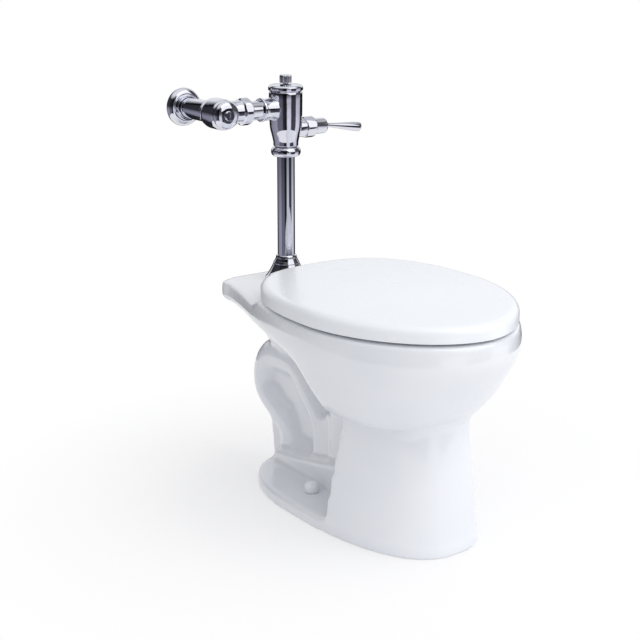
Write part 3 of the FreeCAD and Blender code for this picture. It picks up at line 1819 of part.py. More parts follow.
def cap_corner(step, inwards):
    """One corner of the cap's dome, a quarter turn in equal steps, in by the wall for the inside."""
    angle = math.pi / 2 * step / CAP_STEPS
    across = f"{math.cos(angle):.5f} * (bolt_cap_radius - {inwards} * bolt_cap_wall)"
    rise = f"(bolt_cap_height - bolt_cap_skirt - {inwards} * bolt_cap_wall)"
    return across, f"bolt_cap_skirt + {math.sin(angle):.5f} * {rise}"


turned_pair(
    "bolt_caps",
    [("bolt_cap_radius - bolt_cap_wall", "0"), ("bolt_cap_radius", "0")]
    + [cap_corner(step, 0) for step in range(CAP_STEPS)]
    + [("0", "bolt_cap_height"), ("0", "bolt_cap_height - bolt_cap_wall")]
    + [cap_corner(step, 1) for step in reversed(range(CAP_STEPS))],
    **CLOSET_BOLT,
)
turned_pair(
    "bolt_cap_bases",
    ring_of("bolt_cap_radius - bolt_cap_wall - fit_gap", "bolt_hole_radius", "cap_base_height"),
    **CLOSET_BOLT,
)


doc.recompute()
for thing in doc.Objects:
    if "Invalid" in thing.State or "Error" in thing.State:
        raise RuntimeError(f"{thing.Name} did not recompute: {thing.State}")
for node in nodes:
    if node.Shape.isNull() or not node.Shape.isValid():
        raise RuntimeError(f"{node.Label} has no valid shape")
for node in nodes:
    node.Shape.exportStep(f"parts/{node.Label}.step")
    print(node.Label, len(node.Shape.Solids), round(node.Shape.Volume / 1000, 2))
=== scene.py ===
"""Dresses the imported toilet: glazed china bowl, moulded seat and lid, chromed flush valve."""

import json
import math

import bpy
import numpy as np
from bpy.props import FloatProperty, FloatVectorProperty, IntProperty, PointerProperty
from mathutils import Matrix, Vector


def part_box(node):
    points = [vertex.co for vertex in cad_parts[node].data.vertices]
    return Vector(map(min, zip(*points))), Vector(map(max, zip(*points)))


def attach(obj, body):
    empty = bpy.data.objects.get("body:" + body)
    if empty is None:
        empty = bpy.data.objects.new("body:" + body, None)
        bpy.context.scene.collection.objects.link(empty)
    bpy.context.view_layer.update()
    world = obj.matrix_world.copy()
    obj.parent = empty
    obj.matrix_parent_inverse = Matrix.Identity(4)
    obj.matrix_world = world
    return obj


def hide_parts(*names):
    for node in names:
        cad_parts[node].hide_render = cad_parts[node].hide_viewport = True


bl_info = {
    "name": "Toilet with exposed flush valve",
    "version": (1, 0, 0),
    "blender": (4, 5, 0),
    "location": "View3D > Sidebar > Toilet",
    "description": "Builds the looks of a floor-standing toilet around its packed frame",
    "category": "Object",
}

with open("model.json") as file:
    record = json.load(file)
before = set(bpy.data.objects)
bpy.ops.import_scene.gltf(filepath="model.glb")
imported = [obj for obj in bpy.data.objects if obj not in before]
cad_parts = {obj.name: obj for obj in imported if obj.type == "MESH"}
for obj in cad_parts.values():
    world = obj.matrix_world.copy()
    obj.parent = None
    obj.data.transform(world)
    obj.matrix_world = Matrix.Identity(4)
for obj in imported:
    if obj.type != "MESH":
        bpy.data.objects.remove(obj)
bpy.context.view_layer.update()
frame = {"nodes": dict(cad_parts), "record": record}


# Colours


# The sRGB curve: a straight line up to a knee, and a power above it
SRGB_KNEE = 0.04045
SRGB_SLOPE = 12.92
SRGB_OFFSET = 0.055
SRGB_POWER = 2.4


def linear(text):
    """An sRGB hex colour as linear red, green and blue."""
    value = np.array([int(text[place : place + 2], 16) for place in (1, 3, 5)]) / 255
    curve = ((value + SRGB_OFFSET) / (1 + SRGB_OFFSET)) ** SRGB_POWER
    return tuple(np.where(value <= SRGB_KNEE, value / SRGB_SLOPE, curve))


def colour(name, description, default):
    """A colour setting whose default is an sRGB hex value."""
    return FloatVectorProperty(
        name=name, description=description, default=linear(default), subtype="COLOR", size=3,
        min=0, max=1,
    )


def length(name, description, default):
    """A length setting in metres."""
    return FloatProperty(name=name, description=description, default=default, unit="LENGTH")


# Places read from the frame


def corners_of(node):
    """A node's lowest and highest corners as arrays, in metres."""
    low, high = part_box(node)
    return np.array(low), np.array(high)


LID_LOW, LID_HIGH = corners_of("seat_lid")
RING_HIGH = corners_of("seat_ring")[1]
PIN_LOW, PIN_HIGH = corners_of("hinge_pins")
HINGE = (PIN_LOW + PIN_HIGH) / 2
RIM_TOP = corners_of("bowl")[1][2]
VALVE_LINE = sum(corners_of("valve_body"))[1] / 2
HANDLE_HEIGHT = sum(corners_of("handle_nut"))[2] / 2
INLET_HEIGHT = sum(corners_of("tailpiece"))[2] / 2


# Settings


class ChinaSettings(bpy.types.PropertyGroup):
    """The bowl's glaze and how far it softens the edges of the casting."""

    glaze: colour("Glaze", "Colour of the glazed china", "#e9ebf0")
    glaze_shade: colour("Glaze shade", "Colour where the glaze lies thick", "#e3e6ed")
    grid: length("Grid", "Size of the cells that the casting is rebuilt from", 0.0044)
    softening: IntProperty(
        name="Softening", description="Rounds of smoothing that melt the edges", default=22, min=0
    )


class SeatSettings(bpy.types.PropertyGroup):
    """The moulded ring and lid."""

    plastic: colour("Plastic", "Colour of the seat's plastic", "#f0f3f8")
    wall: length("Wall", "Thickness of the lid's skirt", 0.0045)
    rounding: length("Rounding", "Radius of the lid's upper edge", 0.014)
    crown: length("Crown", "Rise of the lid's middle above its edge", 0.003)
    ring_rounding: length("Ring rounding", "Radius of the ring's edges", 0.006)


class MetalSettings(bpy.types.PropertyGroup):
    """The chromed brass, the bare metals and the small rubber and plastic pieces."""

    chrome: colour("Chrome", "Colour of the chrome plate", "#dcdde6")
    brass: colour("Brass", "Colour of bare brass", "#b8975a")
    copper: colour("Copper", "Colour of the supply tube", "#b87050")
    steel: colour("Steel", "Colour of the pins and bolts", "#a9aab0")
    rubber: colour("Rubber", "Colour of the washers", "#17181b")
    bumper: colour("Bumper", "Colour of the seat's rubber bumpers", "#dcdde0")
    fitting: colour("Fitting", "Colour of the dull plastic fittings", "#7b7e84")
    edge: length("Edge", "Radius of the turned pieces' edges", 0.0008)


class StageSettings(bpy.types.PropertyGroup):
    """The floor, the lights and the camera."""

    floor: colour("Floor", "Colour of the floor", "#fbfbfd")
    floor_radius: length("Floor radius", "Radius of the round floor", 1.15)
    sky: FloatProperty(name="Sky", description="Strength of the soft light all round", default=0.7)
    lean: FloatProperty(
        name="Lean", description="How much brighter the bright side is", default=0.36
    )
    key: FloatProperty(
        name="Key", description="Power of the lamp overhead", default=25.0, unit="POWER"
    )
    lens: FloatProperty(name="Lens", description="Focal length", default=73.9, unit="CAMERA")


SETTINGS = {
    "china": ChinaSettings,
    "seat": SeatSettings,
    "metal": MetalSettings,
    "stage": StageSettings,
}


def settings(kind):
    """The scene's settings of one kind."""
    return getattr(bpy.context.scene, "toilet_" + kind)


# Meshes from arrays


def shell(rows, closed=False):
    """Closed skin over rows of points, each row a loop; the ends are closed to their middles."""
    count, around, _ = rows.shape
    place = np.arange(count * around).reshape(count, around)
    lower = place if closed else place[:-1]
    upper = np.roll(place, -1, axis=0) if closed else place[1:]
    lower_next = np.roll(lower, -1, axis=1)
    upper_next = np.roll(upper, -1, axis=1)
    points = rows.reshape(-1, 3)
    faces = np.stack([lower, lower_next, upper_next, upper], -1).reshape(-1, 4).tolist()
    if not closed:
        points = np.concatenate([points, [rows[0].mean(axis=0), rows[-1].mean(axis=0)]])
        first = np.full(around, count * around)
        faces += np.stack([first, np.roll(place[0], -1), place[0]], -1).tolist()
        faces += np.stack([first + 1, place[-1], np.roll(place[-1], -1)], -1).tolist()
    return outward(points, faces)


def outward(points, faces):
    """Turns the faces round where the skin's signed volume is negative."""
    triangles = np.array([(f[0], f[k], f[k + 1]) for f in faces for k in range(1, len(f) - 1)])
    a, b, c = (points[triangles[:, k]] for k in range(3))
    if np.einsum("ij,ij->i", a, np.cross(b, c)).sum() < 0:
        faces = [face[::-1] for face in faces]
    return points, faces


# The most of its shorter side that a rounded corner takes up
CORNER_SHARE = 0.42
# Keeps a side of no length from being divided by
TINY = 1e-9


def softened(profile, radius, steps=5, closed=True):
    """Rounds a profile's corners: a quadratic curve from a point before to a point after each."""
    way_in = np.roll(profile, 1, axis=0) - profile
    way_out = np.roll(profile, -1, axis=0) - profile
    reach_in = np.linalg.norm(way_in, axis=1, keepdims=True)
    reach_out = np.linalg.norm(way_out, axis=1, keepdims=True)
    cut = np.minimum(radius, CORNER_SHARE * np.minimum(reach_in, reach_out))
    if not closed:
        cut[[0, -1]] = 0
    start = profile + way_in * cut / np.maximum(reach_in, TINY)
    end = profile + way_out * cut / np.maximum(reach_out, TINY)
    share = np.linspace(0, 1, steps)[None, :, None]
    curve = (
        start[:, None] * (1 - share) ** 2
        + 2 * profile[:, None] * share * (1 - share)
        + end[:, None] * share**2
    )
    if not closed:
        return np.concatenate([profile[:1], curve[1:-1].reshape(-1, 2), profile[-1:]])
    return curve.reshape(-1, 2)


def dome(inner, outer, low, high, steps=14):
    """A quarter of an ellipse as a profile, from the outer radius at the low height to the
    inner radius at the high one."""
    turn = np.linspace(0, math.pi / 2, steps)
    return np.stack([inner + (outer - inner) * np.cos(turn), low + (high - low) * np.sin(turn)], -1)


def lathe(profile, around=72, flats=0, flat_radius=1.0, ribs=0, rib_depth=0.0):
    """A profile of (radius, height) turned about Z. Flats trim the radius to a prism's:
    flat_radius / cos(angle from the flat's middle). Between ribs the radius is less by
    rib_depth * (1 - the size of a cosine of half the ribs' angle)."""
    angle = np.linspace(0, 2 * math.pi, around, endpoint=False)
    radius = np.repeat(profile[:, :1], around, axis=1)
    if flats:
        turn = 2 * math.pi / flats
        radius = np.minimum(radius, flat_radius / np.cos(np.mod(angle, turn) - turn / 2))
    if ribs:
        radius = radius - rib_depth * (1 - np.abs(np.cos(ribs * angle / 2))) * (profile[:, :1] > 0)
    height = np.repeat(profile[:, 1:], around, axis=1)
    return shell(np.stack([radius * np.cos(angle), radius * np.sin(angle), height], -1))


# The turns that lay a skin made about Z along a named way
WAYS = {
    "Z": np.array([[1, 0, 0], [0, 1, 0], [0, 0, 1]]),
    "X": np.array([[0, 0, -1], [0, 1, 0], [1, 0, 0]]),
    "-X": np.array([[0, 0, 1], [0, 1, 0], [-1, 0, 0]]),
    "Y": np.array([[1, 0, 0], [0, 0, -1], [0, 1, 0]]),
    "-Y": np.array([[1, 0, 0], [0, 0, 1], [0, -1, 0]]),
}


def placed(skin, way, foot):
    """A skin made about Z, turned to a named way and moved to its foot."""
    points, faces = skin
    return points @ WAYS[way] + foot, faces


def turned(profile, way, foot, edge, around=72):
    """A skin turned from a profile of (radius, height) in metres, along a way from its foot."""
    soft = softened(np.array(profile, float), edge, closed=False)
    return placed(lathe(soft, around=around), way, foot)


def in_box(node, way, profile, centre=None, edge=None, closed=False, **form):
    """A turned skin in a node's box: the profile's radii and heights are shares of the box, and
    so are the form's radius and depth."""
    low, high = corners_of(node)
    axis = "XYZ".index(way[-1])
    others = [k for k in range(3) if k != axis]
    radius = min(high[others] - low[others]) / 2
    foot = (low + high) / 2 if centre is None else np.array(centre)
    foot[axis] = high[axis] if way.startswith("-") else low[axis]
    shape = np.array(profile, float) * [radius, high[axis] - low[axis]]
    soft = softened(shape, settings("metal").edge if edge is None else edge, closed=closed)
    for key in ("flat_radius", "rib_depth"):
        if key in form:
            form[key] = form[key] * radius
    return placed(lathe(soft, **form), way, foot)


def joined(skins):
    """Several skins as one: their points in a row, and faces that count on from skin to skin."""
    points = []
    faces = []
    start = 0
    for skin_points, skin_faces in skins:
        points.append(skin_points)
        faces += [[corner + start for corner in face] for face in skin_faces]
        start += len(skin_points)
    return np.concatenate(points), faces


def mesh_of(name, points, faces):
    """A mesh from a skin's points and faces."""
    mesh = bpy.data.meshes.new(name)
    mesh.from_pydata(points.tolist(), [], faces)
    return mesh


# Edges that turn by more degrees than this stay crisp; at 180 none do
SHARP = 40
ALL_SMOOTH = 180


def piece(name, skins, body, material, replaces=(), sharp=SHARP):
    """One object from skins of points and faces."""
    return finished(name, mesh_of(name, *joined(skins)), body, material, replaces, sharp)


def finished(name, mesh, body, material, replaces=(), sharp=SHARP):
    """Links a mesh as an object that rides on a body in place of CAD nodes."""
    mesh.materials.clear()
    mesh.materials.append(material)
    mesh.shade_smooth()
    mesh.set_sharp_from_angle(angle=math.radians(sharp))
    thing = bpy.data.objects.new(name, mesh)
    bpy.context.scene.collection.objects.link(thing)
    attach(thing, body)
    if replaces:
        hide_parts(*replaces)
    return thing


def chromed(name, skins, nodes, body="fixture", cast=False):
    """One chromed piece in place of CAD nodes."""
    return piece(name, skins, body, chrome_plate(cast), nodes)


# Materials


def add_node(tree, kind, inputs=None, out=None, **own):
    """Adds a node with its own settings; each input gets a value or a link. Gives back the
    output that is asked for, or else the node."""
    node = tree.nodes.new(kind)
    for name, value in own.items():
        setattr(node, name, value)
    for socket, value in (inputs or {}).items():
        if isinstance(value, bpy.types.NodeSocket):
            tree.links.new(value, node.inputs[socket])
        else:
            node.inputs[socket].default_value = value
    return node if out is None else node.outputs[out]


def emptied(block):
    """The node tree of a material or a world, with nothing in it."""
    block.use_nodes = True
    block.node_tree.nodes.clear()
    return block.node_tree


def opaque(rgb):
    """A colour with full alpha."""
    return (*rgb, 1.0)


def scaled(rgb, share):
    """A colour with each part times a share."""
    return tuple(share * part for part in rgb)


# A Mix node has sockets of the same name for each kind of value: these are the colours' numbers
MIX_FIRST = 6
MIX_SECOND = 7
MIX_RESULT = 2
# The range that most of a noise's values lie in
NOISE_LOW = 0.3
NOISE_HIGH = 0.7
NO_STRETCH = (1, 1, 1)


def finish(name, haze, grain, patches=None, **inputs):
    """A finish whose patterns are noise in object coordinates, with grains of a real size in
    metres. The haze moves the roughness between low and high, the grain is a bump of a real
    height, and the patches mix two colours as their noise goes from start to stop."""
    material = bpy.data.materials.get(name)
    if material:
        return material
    material = bpy.data.materials.new(name)
    tree = emptied(material)
    place = add_node(tree, "ShaderNodeTexCoord", out="Object")
    noises = {}
    for use, pattern in (("haze", haze), ("grain", grain), ("patches", patches)):
        if pattern:
            spot = add_node(tree, "ShaderNodeMapping", {
                "Vector": place, "Scale": pattern.get("stretch", NO_STRETCH)
            }, out="Vector")
            noises[use] = add_node(tree, "ShaderNodeTexNoise", {
                "Vector": spot, "Scale": 1 / pattern["size"], "Detail": pattern["detail"]
            }, out="Fac")
    shader = add_node(tree, "ShaderNodeBsdfPrincipled", {
        key.replace("_", " "): value for key, value in inputs.items()
    })
    roughness = add_node(tree, "ShaderNodeMapRange", {
        "Value": noises["haze"], "From Min": NOISE_LOW, "From Max": NOISE_HIGH,
        "To Min": haze["low"], "To Max": haze["high"],
    }, out="Result")
    tree.links.new(roughness, shader.inputs["Roughness"])
    normal = add_node(tree, "ShaderNodeBump", {
        "Height": noises["grain"], "Distance": grain["height"], "Strength": 1.0
    }, out="Normal")
    tree.links.new(normal, shader.inputs["Normal"])
    if patches:
        share = add_node(tree, "ShaderNodeMapRange", {
            "Value": noises["patches"], "To Min": 0, "To Max": 1,
            "From Min": patches.get("start", NOISE_LOW),
            "From Max": patches.get("stop", NOISE_HIGH),
        }, out="Result")
        tint = add_node(tree, "ShaderNodeMix", {
            0: share, MIX_FIRST: opaque(patches["first"]), MIX_SECOND: opaque(patches["second"])
        }, data_type="RGBA", out=MIX_RESULT)
        tree.links.new(tint, shader.inputs["Base Color"])
    add_node(tree, "ShaderNodeOutputMaterial", {"Surface": shader.outputs["BSDF"]})
    return material


def glazed_china():
    """Vitreous china: slip cast, glazed and fired, so it is glassy, a little uneven and
    cooler where the glaze lies thick."""
    china = settings("china")
    return finish(
        "glazed_vitreous_china",
        haze={"size": 0.05, "detail": 3.0, "low": 0.10, "high": 0.17},
        grain={"size": 0.06, "detail": 0.0, "height": 0.00016},
        patches={"size": 0.16, "detail": 2.0, "first": china.glaze, "second": china.glaze_shade},
        Coat_Weight=0.5, Coat_Roughness=0.03, Coat_IOR=1.5,
    )


def moulded_plastic():
    """Injection-moulded seat plastic: smooth and glossy, with faint sinks and a hint of haze."""
    plastic = settings("seat").plastic
    return finish(
        "moulded_seat_plastic",
        haze={"size": 0.03, "detail": 3.0, "low": 0.20, "high": 0.28},
        grain={"size": 0.11, "detail": 0.0, "height": 0.0002},
        patches={"size": 0.22, "detail": 1.0, "first": plastic, "second": scaled(plastic, 0.975)},
    )


def chrome_plate(cast=False):
    """Chrome plate: mirror bright on turned brass, a little wavy where the brass was cast."""
    return finish(
        "chrome_plated_casting" if cast else "chrome_plated_turning",
        haze={"size": 0.012, "detail": 4.0, "low": 0.03, "high": 0.09},
        grain={
            "size": 0.016 if cast else 0.03, "detail": 1.0, "height": 0.00022 if cast else 0.00002
        },
        Base_Color=opaque(settings("metal").chrome), Metallic=1.0,
    )


def bare_metal(name, rgb, roughness, grain):
    """Bare turned metal: dulled by handling, with fine tool marks round it."""
    return finish(
        name,
        haze={"size": 0.004, "detail": 3.0, "low": 0.8 * roughness, "high": 1.3 * roughness},
        grain={"size": grain, "detail": 2.0, "height": 0.00002, "stretch": (1, 1, 6)},
        patches={
            "size": 0.006, "detail": 4.0, "start": 0.4, "stop": 0.75,
            "first": rgb, "second": scaled(rgb, 0.72),
        },
        Metallic=1.0,
    )


def soft_moulding(name, rgb, roughness, grain):
    """Rubber or dull plastic: moulded, with a fine matt grain and a paler bloom in patches."""
    return finish(
        name,
        haze={"size": 0.003, "detail": 2.0, "low": 0.9 * roughness, "high": 1.15 * roughness},
        grain={"size": grain, "detail": 2.0, "height": 0.00002},
        patches={
            "size": 0.009, "detail": 3.0, "start": 0.45, "stop": 0.7,
            "first": rgb, "second": tuple(min(1.0, 1.3 * part + 0.01) for part in rgb),
        },
    )


def slot_material(slot):
    """The finish for a slot of the record. A bare metal or a soft moulding is named, and has a
    colour, a roughness and the size of its grain in metres."""
    metal = settings("metal")
    makers = {
        "china": (glazed_china,),
        "seat_plastic": (moulded_plastic,),
        "bright_chrome": (chrome_plate,),
        "raw_brass": (bare_metal, "turned_brass", metal.brass, 0.3, 0.0012),
        "copper_tube": (bare_metal, "drawn_copper_tube", metal.copper, 0.32, 0.002),
        "steel": (bare_metal, "plain_steel", metal.steel, 0.35, 0.001),
        "black_rubber": (soft_moulding, "black_rubber", metal.rubber, 0.6, 0.0008),
        "white_rubber": (soft_moulding, "white_rubber", metal.bumper, 0.55, 0.0008),
        "grey_plastic": (soft_moulding, "dull_grey_plastic", metal.fitting, 0.5, 0.001),
    }
    maker, *values = makers[slot]
    return maker(*values)


# Outlines of the seat


def quarter(half_width, reach, power, angle):
    """A point of a superellipse: across is cos to the power 2/p, along is sin to the power 2/p,
    each with its own sign."""
    across = half_width * np.abs(np.cos(angle)) ** (2 / power)
    along = reach * np.abs(np.sin(angle)) ** (2 / power)
    return across * np.sign(np.cos(angle)), along * np.sign(np.sin(angle))


def egg(half_width, front, widest, back, power, back_power, around=192):
    """A closed egg seen from above: two superellipse halves that meet at the widest line.
    Its points are spaced evenly along the line."""
    angle = np.linspace(0, 2 * math.pi, 4 * around, endpoint=False)
    rear_x, rear_y = quarter(half_width, back + widest, back_power, angle)
    nose_x, nose_y = quarter(half_width, front - widest, power, angle)
    behind = np.sin(angle) >= 0
    line = np.stack([np.where(behind, rear_x, nose_x), np.where(behind, rear_y, nose_y)], -1)
    line[:, 1] -= widest
    return even(line, around)


def even(line, count):
    """A closed line sampled at equal steps of its length."""
    ring = np.concatenate([line, line[:1]])
    run = np.concatenate([[0], np.cumsum(np.linalg.norm(np.diff(ring, axis=0), axis=1))])
    places = np.linspace(0, run[-1], count, endpoint=False)
    return np.stack([np.interp(places, run, ring[:, k]) for k in range(2)], -1)


def drawn_in(line, inset):
    """A closed line moved inwards by an inset, square to its own direction."""
    way = np.roll(line, -1, axis=0) - np.roll(line, 1, axis=0)
    way = way / np.linalg.norm(way, axis=1, keepdims=True)
    inward = np.stack([-way[:, 1], way[:, 0]], -1)
    return line + inward * inset


def level(line, height):
    """A flat line as a row of points at a height or heights."""
    return np.concatenate([line, np.broadcast_to(height, (len(line),))[:, None]], axis=1)


# The lid's outline: the powers of its front and back, how far in front of the outlet it is
# widest, and how far behind the outlet it ends
RIM_POWER = 1.85
LID_BACK_POWER = 2.6
WIDEST = 0.13
LID_BACK = 0.114
# The lid: its lower rim above the china, its ceiling above the ring, and its rounded corners
LID_FLOOR = RIM_TOP + 0.0045
LID_CLEARANCE = 0.003
CEILING_ROUNDING = 0.008
RIM_STEP = 0.0008
LEAST_SKIRT = 0.001
CEILING_SHARES = (0.15, 0.5, 0.86)
CROWN_SHARES = (0.97, 0.9, 0.78, 0.62, 0.44, 0.26, 0.1)
# The opening in the lid's skirt behind, where the hinge stands
NOTCH_FRONT = 0.078
NOTCH_EASE = 0.006
NOTCH_HALF_WIDTH = 0.097
# The ring: how far it stands inside the lid's outline, its back, its hole and its section
RING_INSET = 0.0075
RING_BACK = 0.084
RING_SPAN = (RIM_TOP + 0.004, RING_HIGH[2])
RING_MIDDLE = np.array([0.0, -0.14])
HOLE = {
    "half_width": 0.104, "front": 0.296, "widest": 0.15, "back": -0.022,
    "power": 2.31, "back_power": 2.21,
}
UNDERSIDE_SHARE = 0.3
# The hinge's ears: their width, round end and rims, and how far in from the pins' ends they start
EAR_WIDTH = 0.010
EAR_RADIUS = 0.985 * (RING_HIGH[1] - HINGE[1])
EAR_RIM = 0.0006
EAR_BEVEL = 0.3 * EAR_RIM
LID_EAR_INSET = 0.0294
LID_EAR_OVERLAP = 0.002
RING_EAR_INSET = 0.0006
# The ring's ears: their front, where their straight sides end in front of the pin, and how far
# they stay inside the ring's lower and upper face
BAR_FRONT = 0.062
BAR_STRAIGHT = 0.006
BAR_LOW = 0.001
BAR_HIGH = 0.002
# Moulded edges that turn by more degrees than this stay crisp
SEAT_SHARP = 35


def lid_outline():
    """The lid's outline: as wide as the lid's box and as far forward, with its own back."""
    return egg(LID_HIGH[0], -LID_LOW[1], WIDEST, LID_BACK, RIM_POWER, LID_BACK_POWER)


# Operators


class TOILET_OT_china_bowl(bpy.types.Operator):
    """Glazes the casting: the frame's bowl on a fine grid, drawn in under the deck and melted"""

    bl_idname = "toilet.china_bowl"
    bl_label = "China bowl"

    def execute(self, context):
        china = settings("china")
        points, faces = gridded(*merged_copy("bowl"), china.grid)
        whole = joined([(tucked(points), faces), chamber_wall()])
        mesh = mesh_of("china_bowl", *gridded(*whole, china.grid))
        melt(mesh, china.softening)
        finished("china_bowl", mesh, "fixture", glazed_china(), ("bowl",), ALL_SMOOTH)
        return {"FINISHED"}


# Points of the frame that agree to this many decimals of a metre are one point
MERGE_DECIMALS = 6


def merged_copy(node):
    """The points and triangles of a CAD node, with its doubled points made one and the
    triangles left out that have lost a side by it."""
    source = frame["nodes"][node].data
    points = np.empty(len(source.vertices) * 3)
    source.vertices.foreach_get("co", points)
    corners = np.empty(len(source.loops), dtype=int)
    source.loops.foreach_get("vertex_index", corners)
    points = np.round(points.reshape(-1, 3), MERGE_DECIMALS)
    points, index = np.unique(points, axis=0, return_inverse=True)
    triangles = index.reshape(-1)[corners].reshape(-1, 3)
    first, second, third = triangles.T
    whole = (first != second) & (second != third) & (first != third)
    return points, triangles[whole].tolist()


def gridded(points, faces, cell):
    """A closed skin, or several that overlap, rebuilt as one skin on a grid of cells."""
    helper = bpy.data.objects.new("rough", mesh_of("rough", points, faces))
    bpy.context.scene.collection.objects.link(helper)
    remesh = helper.modifiers.new("cells", "REMESH")
    remesh.mode = "VOXEL"
    remesh.voxel_size = cell
    graph = bpy.context.evaluated_depsgraph_get()
    mesh = bpy.data.meshes.new_from_object(helper.evaluated_get(graph))
    bpy.data.objects.remove(helper)
    places = np.empty(len(mesh.vertices) * 3)
    mesh.vertices.foreach_get("co", places)
    corners = np.empty(len(mesh.loops), dtype=int)
    mesh.loops.foreach_get("vertex_index", corners)
    bpy.data.meshes.remove(mesh)
    return places.reshape(-1, 3), corners.reshape(-1, 4).tolist()


def eased(value, start, stop):
    """0 at start and 1 at stop, with a smooth cubic between; the start may be the higher."""
    share = np.clip((value - start) / (stop - start), 0, 1)
    return share * share * (3 - 2 * share)


DECK_TOP = RIM_TOP - 0.015
# How thick the deck's edge is, and how far its full outline is drawn down for that
SLAB = 0.032
SLAB_DROP = 0.012
# Heights at which the drawing down is full, starts to fade and has ended
DROP_FULL = DECK_TOP - 0.4 * SLAB
DROP_FADES = DECK_TOP - 0.5 * SLAB
DROP_ENDS = DECK_TOP - 2 * SLAB
# How the deck's underside turns into the bowl: the height of the turn at the back, and how much
# more it is in front
UNDERSIDE_TURN = 0.01
UNDERSIDE_TURN_MORE = 0.06
# Half the width of the middle that the tuck leaves alone, where the trapway lies
TUCK_KEEPS = 0.038
# The share of the way to that middle that the rest is moved, and the places along and the
# heights between which that eases in
TUCK = 0.8
TUCK_FRONT = -0.11
TUCK_BACK = 0.09
TUCK_FOOT = 0.185
TUCK_FULL = 0.215


def tucked(points):
    """Carves the casting in under the deck. The deck's outline is first drawn down, and then
    what lies below it and outside the middle is moved towards the middle by a share that eases
    in from front to back and from the deck's underside down, and out again at its foot."""
    across, along, up = points.T
    behind = eased(along, TUCK_FRONT, TUCK_BACK)
    drop = eased(up, DROP_ENDS, DROP_FADES) * eased(up, DECK_TOP, DROP_FULL)
    up = up - SLAB_DROP * behind * drop
    under = DECK_TOP - SLAB
    turn = UNDERSIDE_TURN + UNDERSIDE_TURN_MORE * (1 - behind)
    below = eased(up, under, under - turn) * eased(up, TUCK_FOOT, TUCK_FULL)
    outside = np.maximum(np.abs(across) - TUCK_KEEPS, 0)
    moved = across - np.sign(across) * outside * TUCK * behind * below
    return np.stack([moved, along, up], -1)


# The wall round the water chamber: heights, half widths and places of its rear
CHAMBER_WALL = (
    (0.235, 0.03, 0.2), (0.262, 0.041, 0.218), (0.3, 0.045, 0.222), (0.34, 0.05, 0.224)
)
CHAMBER_FRONT = 0.08
CHAMBER_POWER = 4


def chamber_wall():
    """The wall round the water chamber, which narrows from the deck down to the trapway:
    superellipses seen from above."""
    angle = np.linspace(0, 2 * math.pi, 96, endpoint=False)
    rows = []
    for height, half_width, rear in CHAMBER_WALL:
        across, along = quarter(half_width, (rear - CHAMBER_FRONT) / 2, CHAMBER_POWER, angle)
        rows.append(level(np.stack([across, along + (rear + CHAMBER_FRONT) / 2], -1), height))
    return shell(np.stack(rows))


# Shares of the way to the neighbours' mean that a round of melting goes there and back
MELT_IN = 0.55
MELT_OUT = -0.45


def melt(mesh, rounds):
    """Moves each point towards the mean of its neighbours, then partly back, which rounds
    edges and keeps the size."""
    count = len(mesh.vertices)
    points = np.empty(count * 3)
    mesh.vertices.foreach_get("co", points)
    points = points.reshape(-1, 3)
    edges = np.empty(len(mesh.edges) * 2, dtype=int)
    mesh.edges.foreach_get("vertices", edges)
    first, second = edges.reshape(-1, 2).T
    degree = np.bincount(first, minlength=count) + np.bincount(second, minlength=count)
    low, high = points.min(axis=0), points.max(axis=0)
    for share in (MELT_IN, MELT_OUT) * rounds:
        total = [
            np.bincount(first, part[second], count) + np.bincount(second, part[first], count)
            for part in points.T
        ]
        points = points + (np.stack(total, -1) / degree[:, None] - points) * share
    points = np.clip(points, low, high)
    mesh.vertices.foreach_set("co", points.reshape(-1))
    mesh.update()


class TOILET_OT_seat_lid(bpy.types.Operator):
    """Makes the lid: a crowned shell with a rounded edge and a skirt, open behind for the hinge"""

    bl_idname = "toilet.seat_lid"
    bl_label = "Seat lid"

    def execute(self, context):
        seat = settings("seat")
        line = lid_outline()
        centre = np.array([0.0, -WIDEST])
        edge_top = LID_HIGH[2] - seat.crown
        ceiling = RING_HIGH[2] + LID_CLEARANCE
        notch = np.clip((line[:, 1] - NOTCH_FRONT) / NOTCH_EASE, 0, 1)
        notch = notch * (np.abs(line[:, 0]) < NOTCH_HALF_WIDTH)
        floor = LID_FLOOR + (ceiling - LID_FLOOR) * notch
        inner = drawn_in(line, seat.wall)
        rows = [level(centre + (inner - centre) * share, ceiling) for share in CEILING_SHARES]
        for turn in np.linspace(math.pi / 2, 0, 6):
            inset = CEILING_ROUNDING * (1 - np.cos(turn))
            height = ceiling - CEILING_ROUNDING * (1 - np.sin(turn))
            rows.append(level(drawn_in(inner, inset), height))
        rows.append(level(inner, np.minimum(ceiling - CEILING_ROUNDING, floor + RIM_STEP)))
        rows.append(level(inner, floor))
        rows.append(level(line, floor))
        rows.append(level(line, np.maximum(floor, LID_FLOOR + RIM_STEP)))
        for turn in np.linspace(0, math.pi / 2, 10):
            inset = seat.rounding * (1 - np.cos(turn))
            height = edge_top - seat.rounding * (1 - np.sin(turn))
            height = np.maximum(height, floor + LEAST_SKIRT * (turn > 0))
            rows.append(level(drawn_in(line, inset), height))
        flat = drawn_in(line, seat.rounding)
        for share in CROWN_SHARES:
            height = edge_top + seat.crown * (1 - share**2)
            rows.append(level(centre + (flat - centre) * share, height))
        skins = [shell(np.stack(rows))]
        skins += [ear(start, ceiling + LID_EAR_OVERLAP) for start in ear_starts(LID_EAR_INSET)]
        plastic = moulded_plastic()
        piece("lid_shell", skins, "lid", plastic, ("seat_lid",), SEAT_SHARP)
        return {"FINISHED"}


def ear_starts(inset):
    """Where the left and the right ear start along X, with an inset from the pins' outer ends."""
    return PIN_LOW[0] + inset, PIN_HIGH[0] - inset - EAR_WIDTH


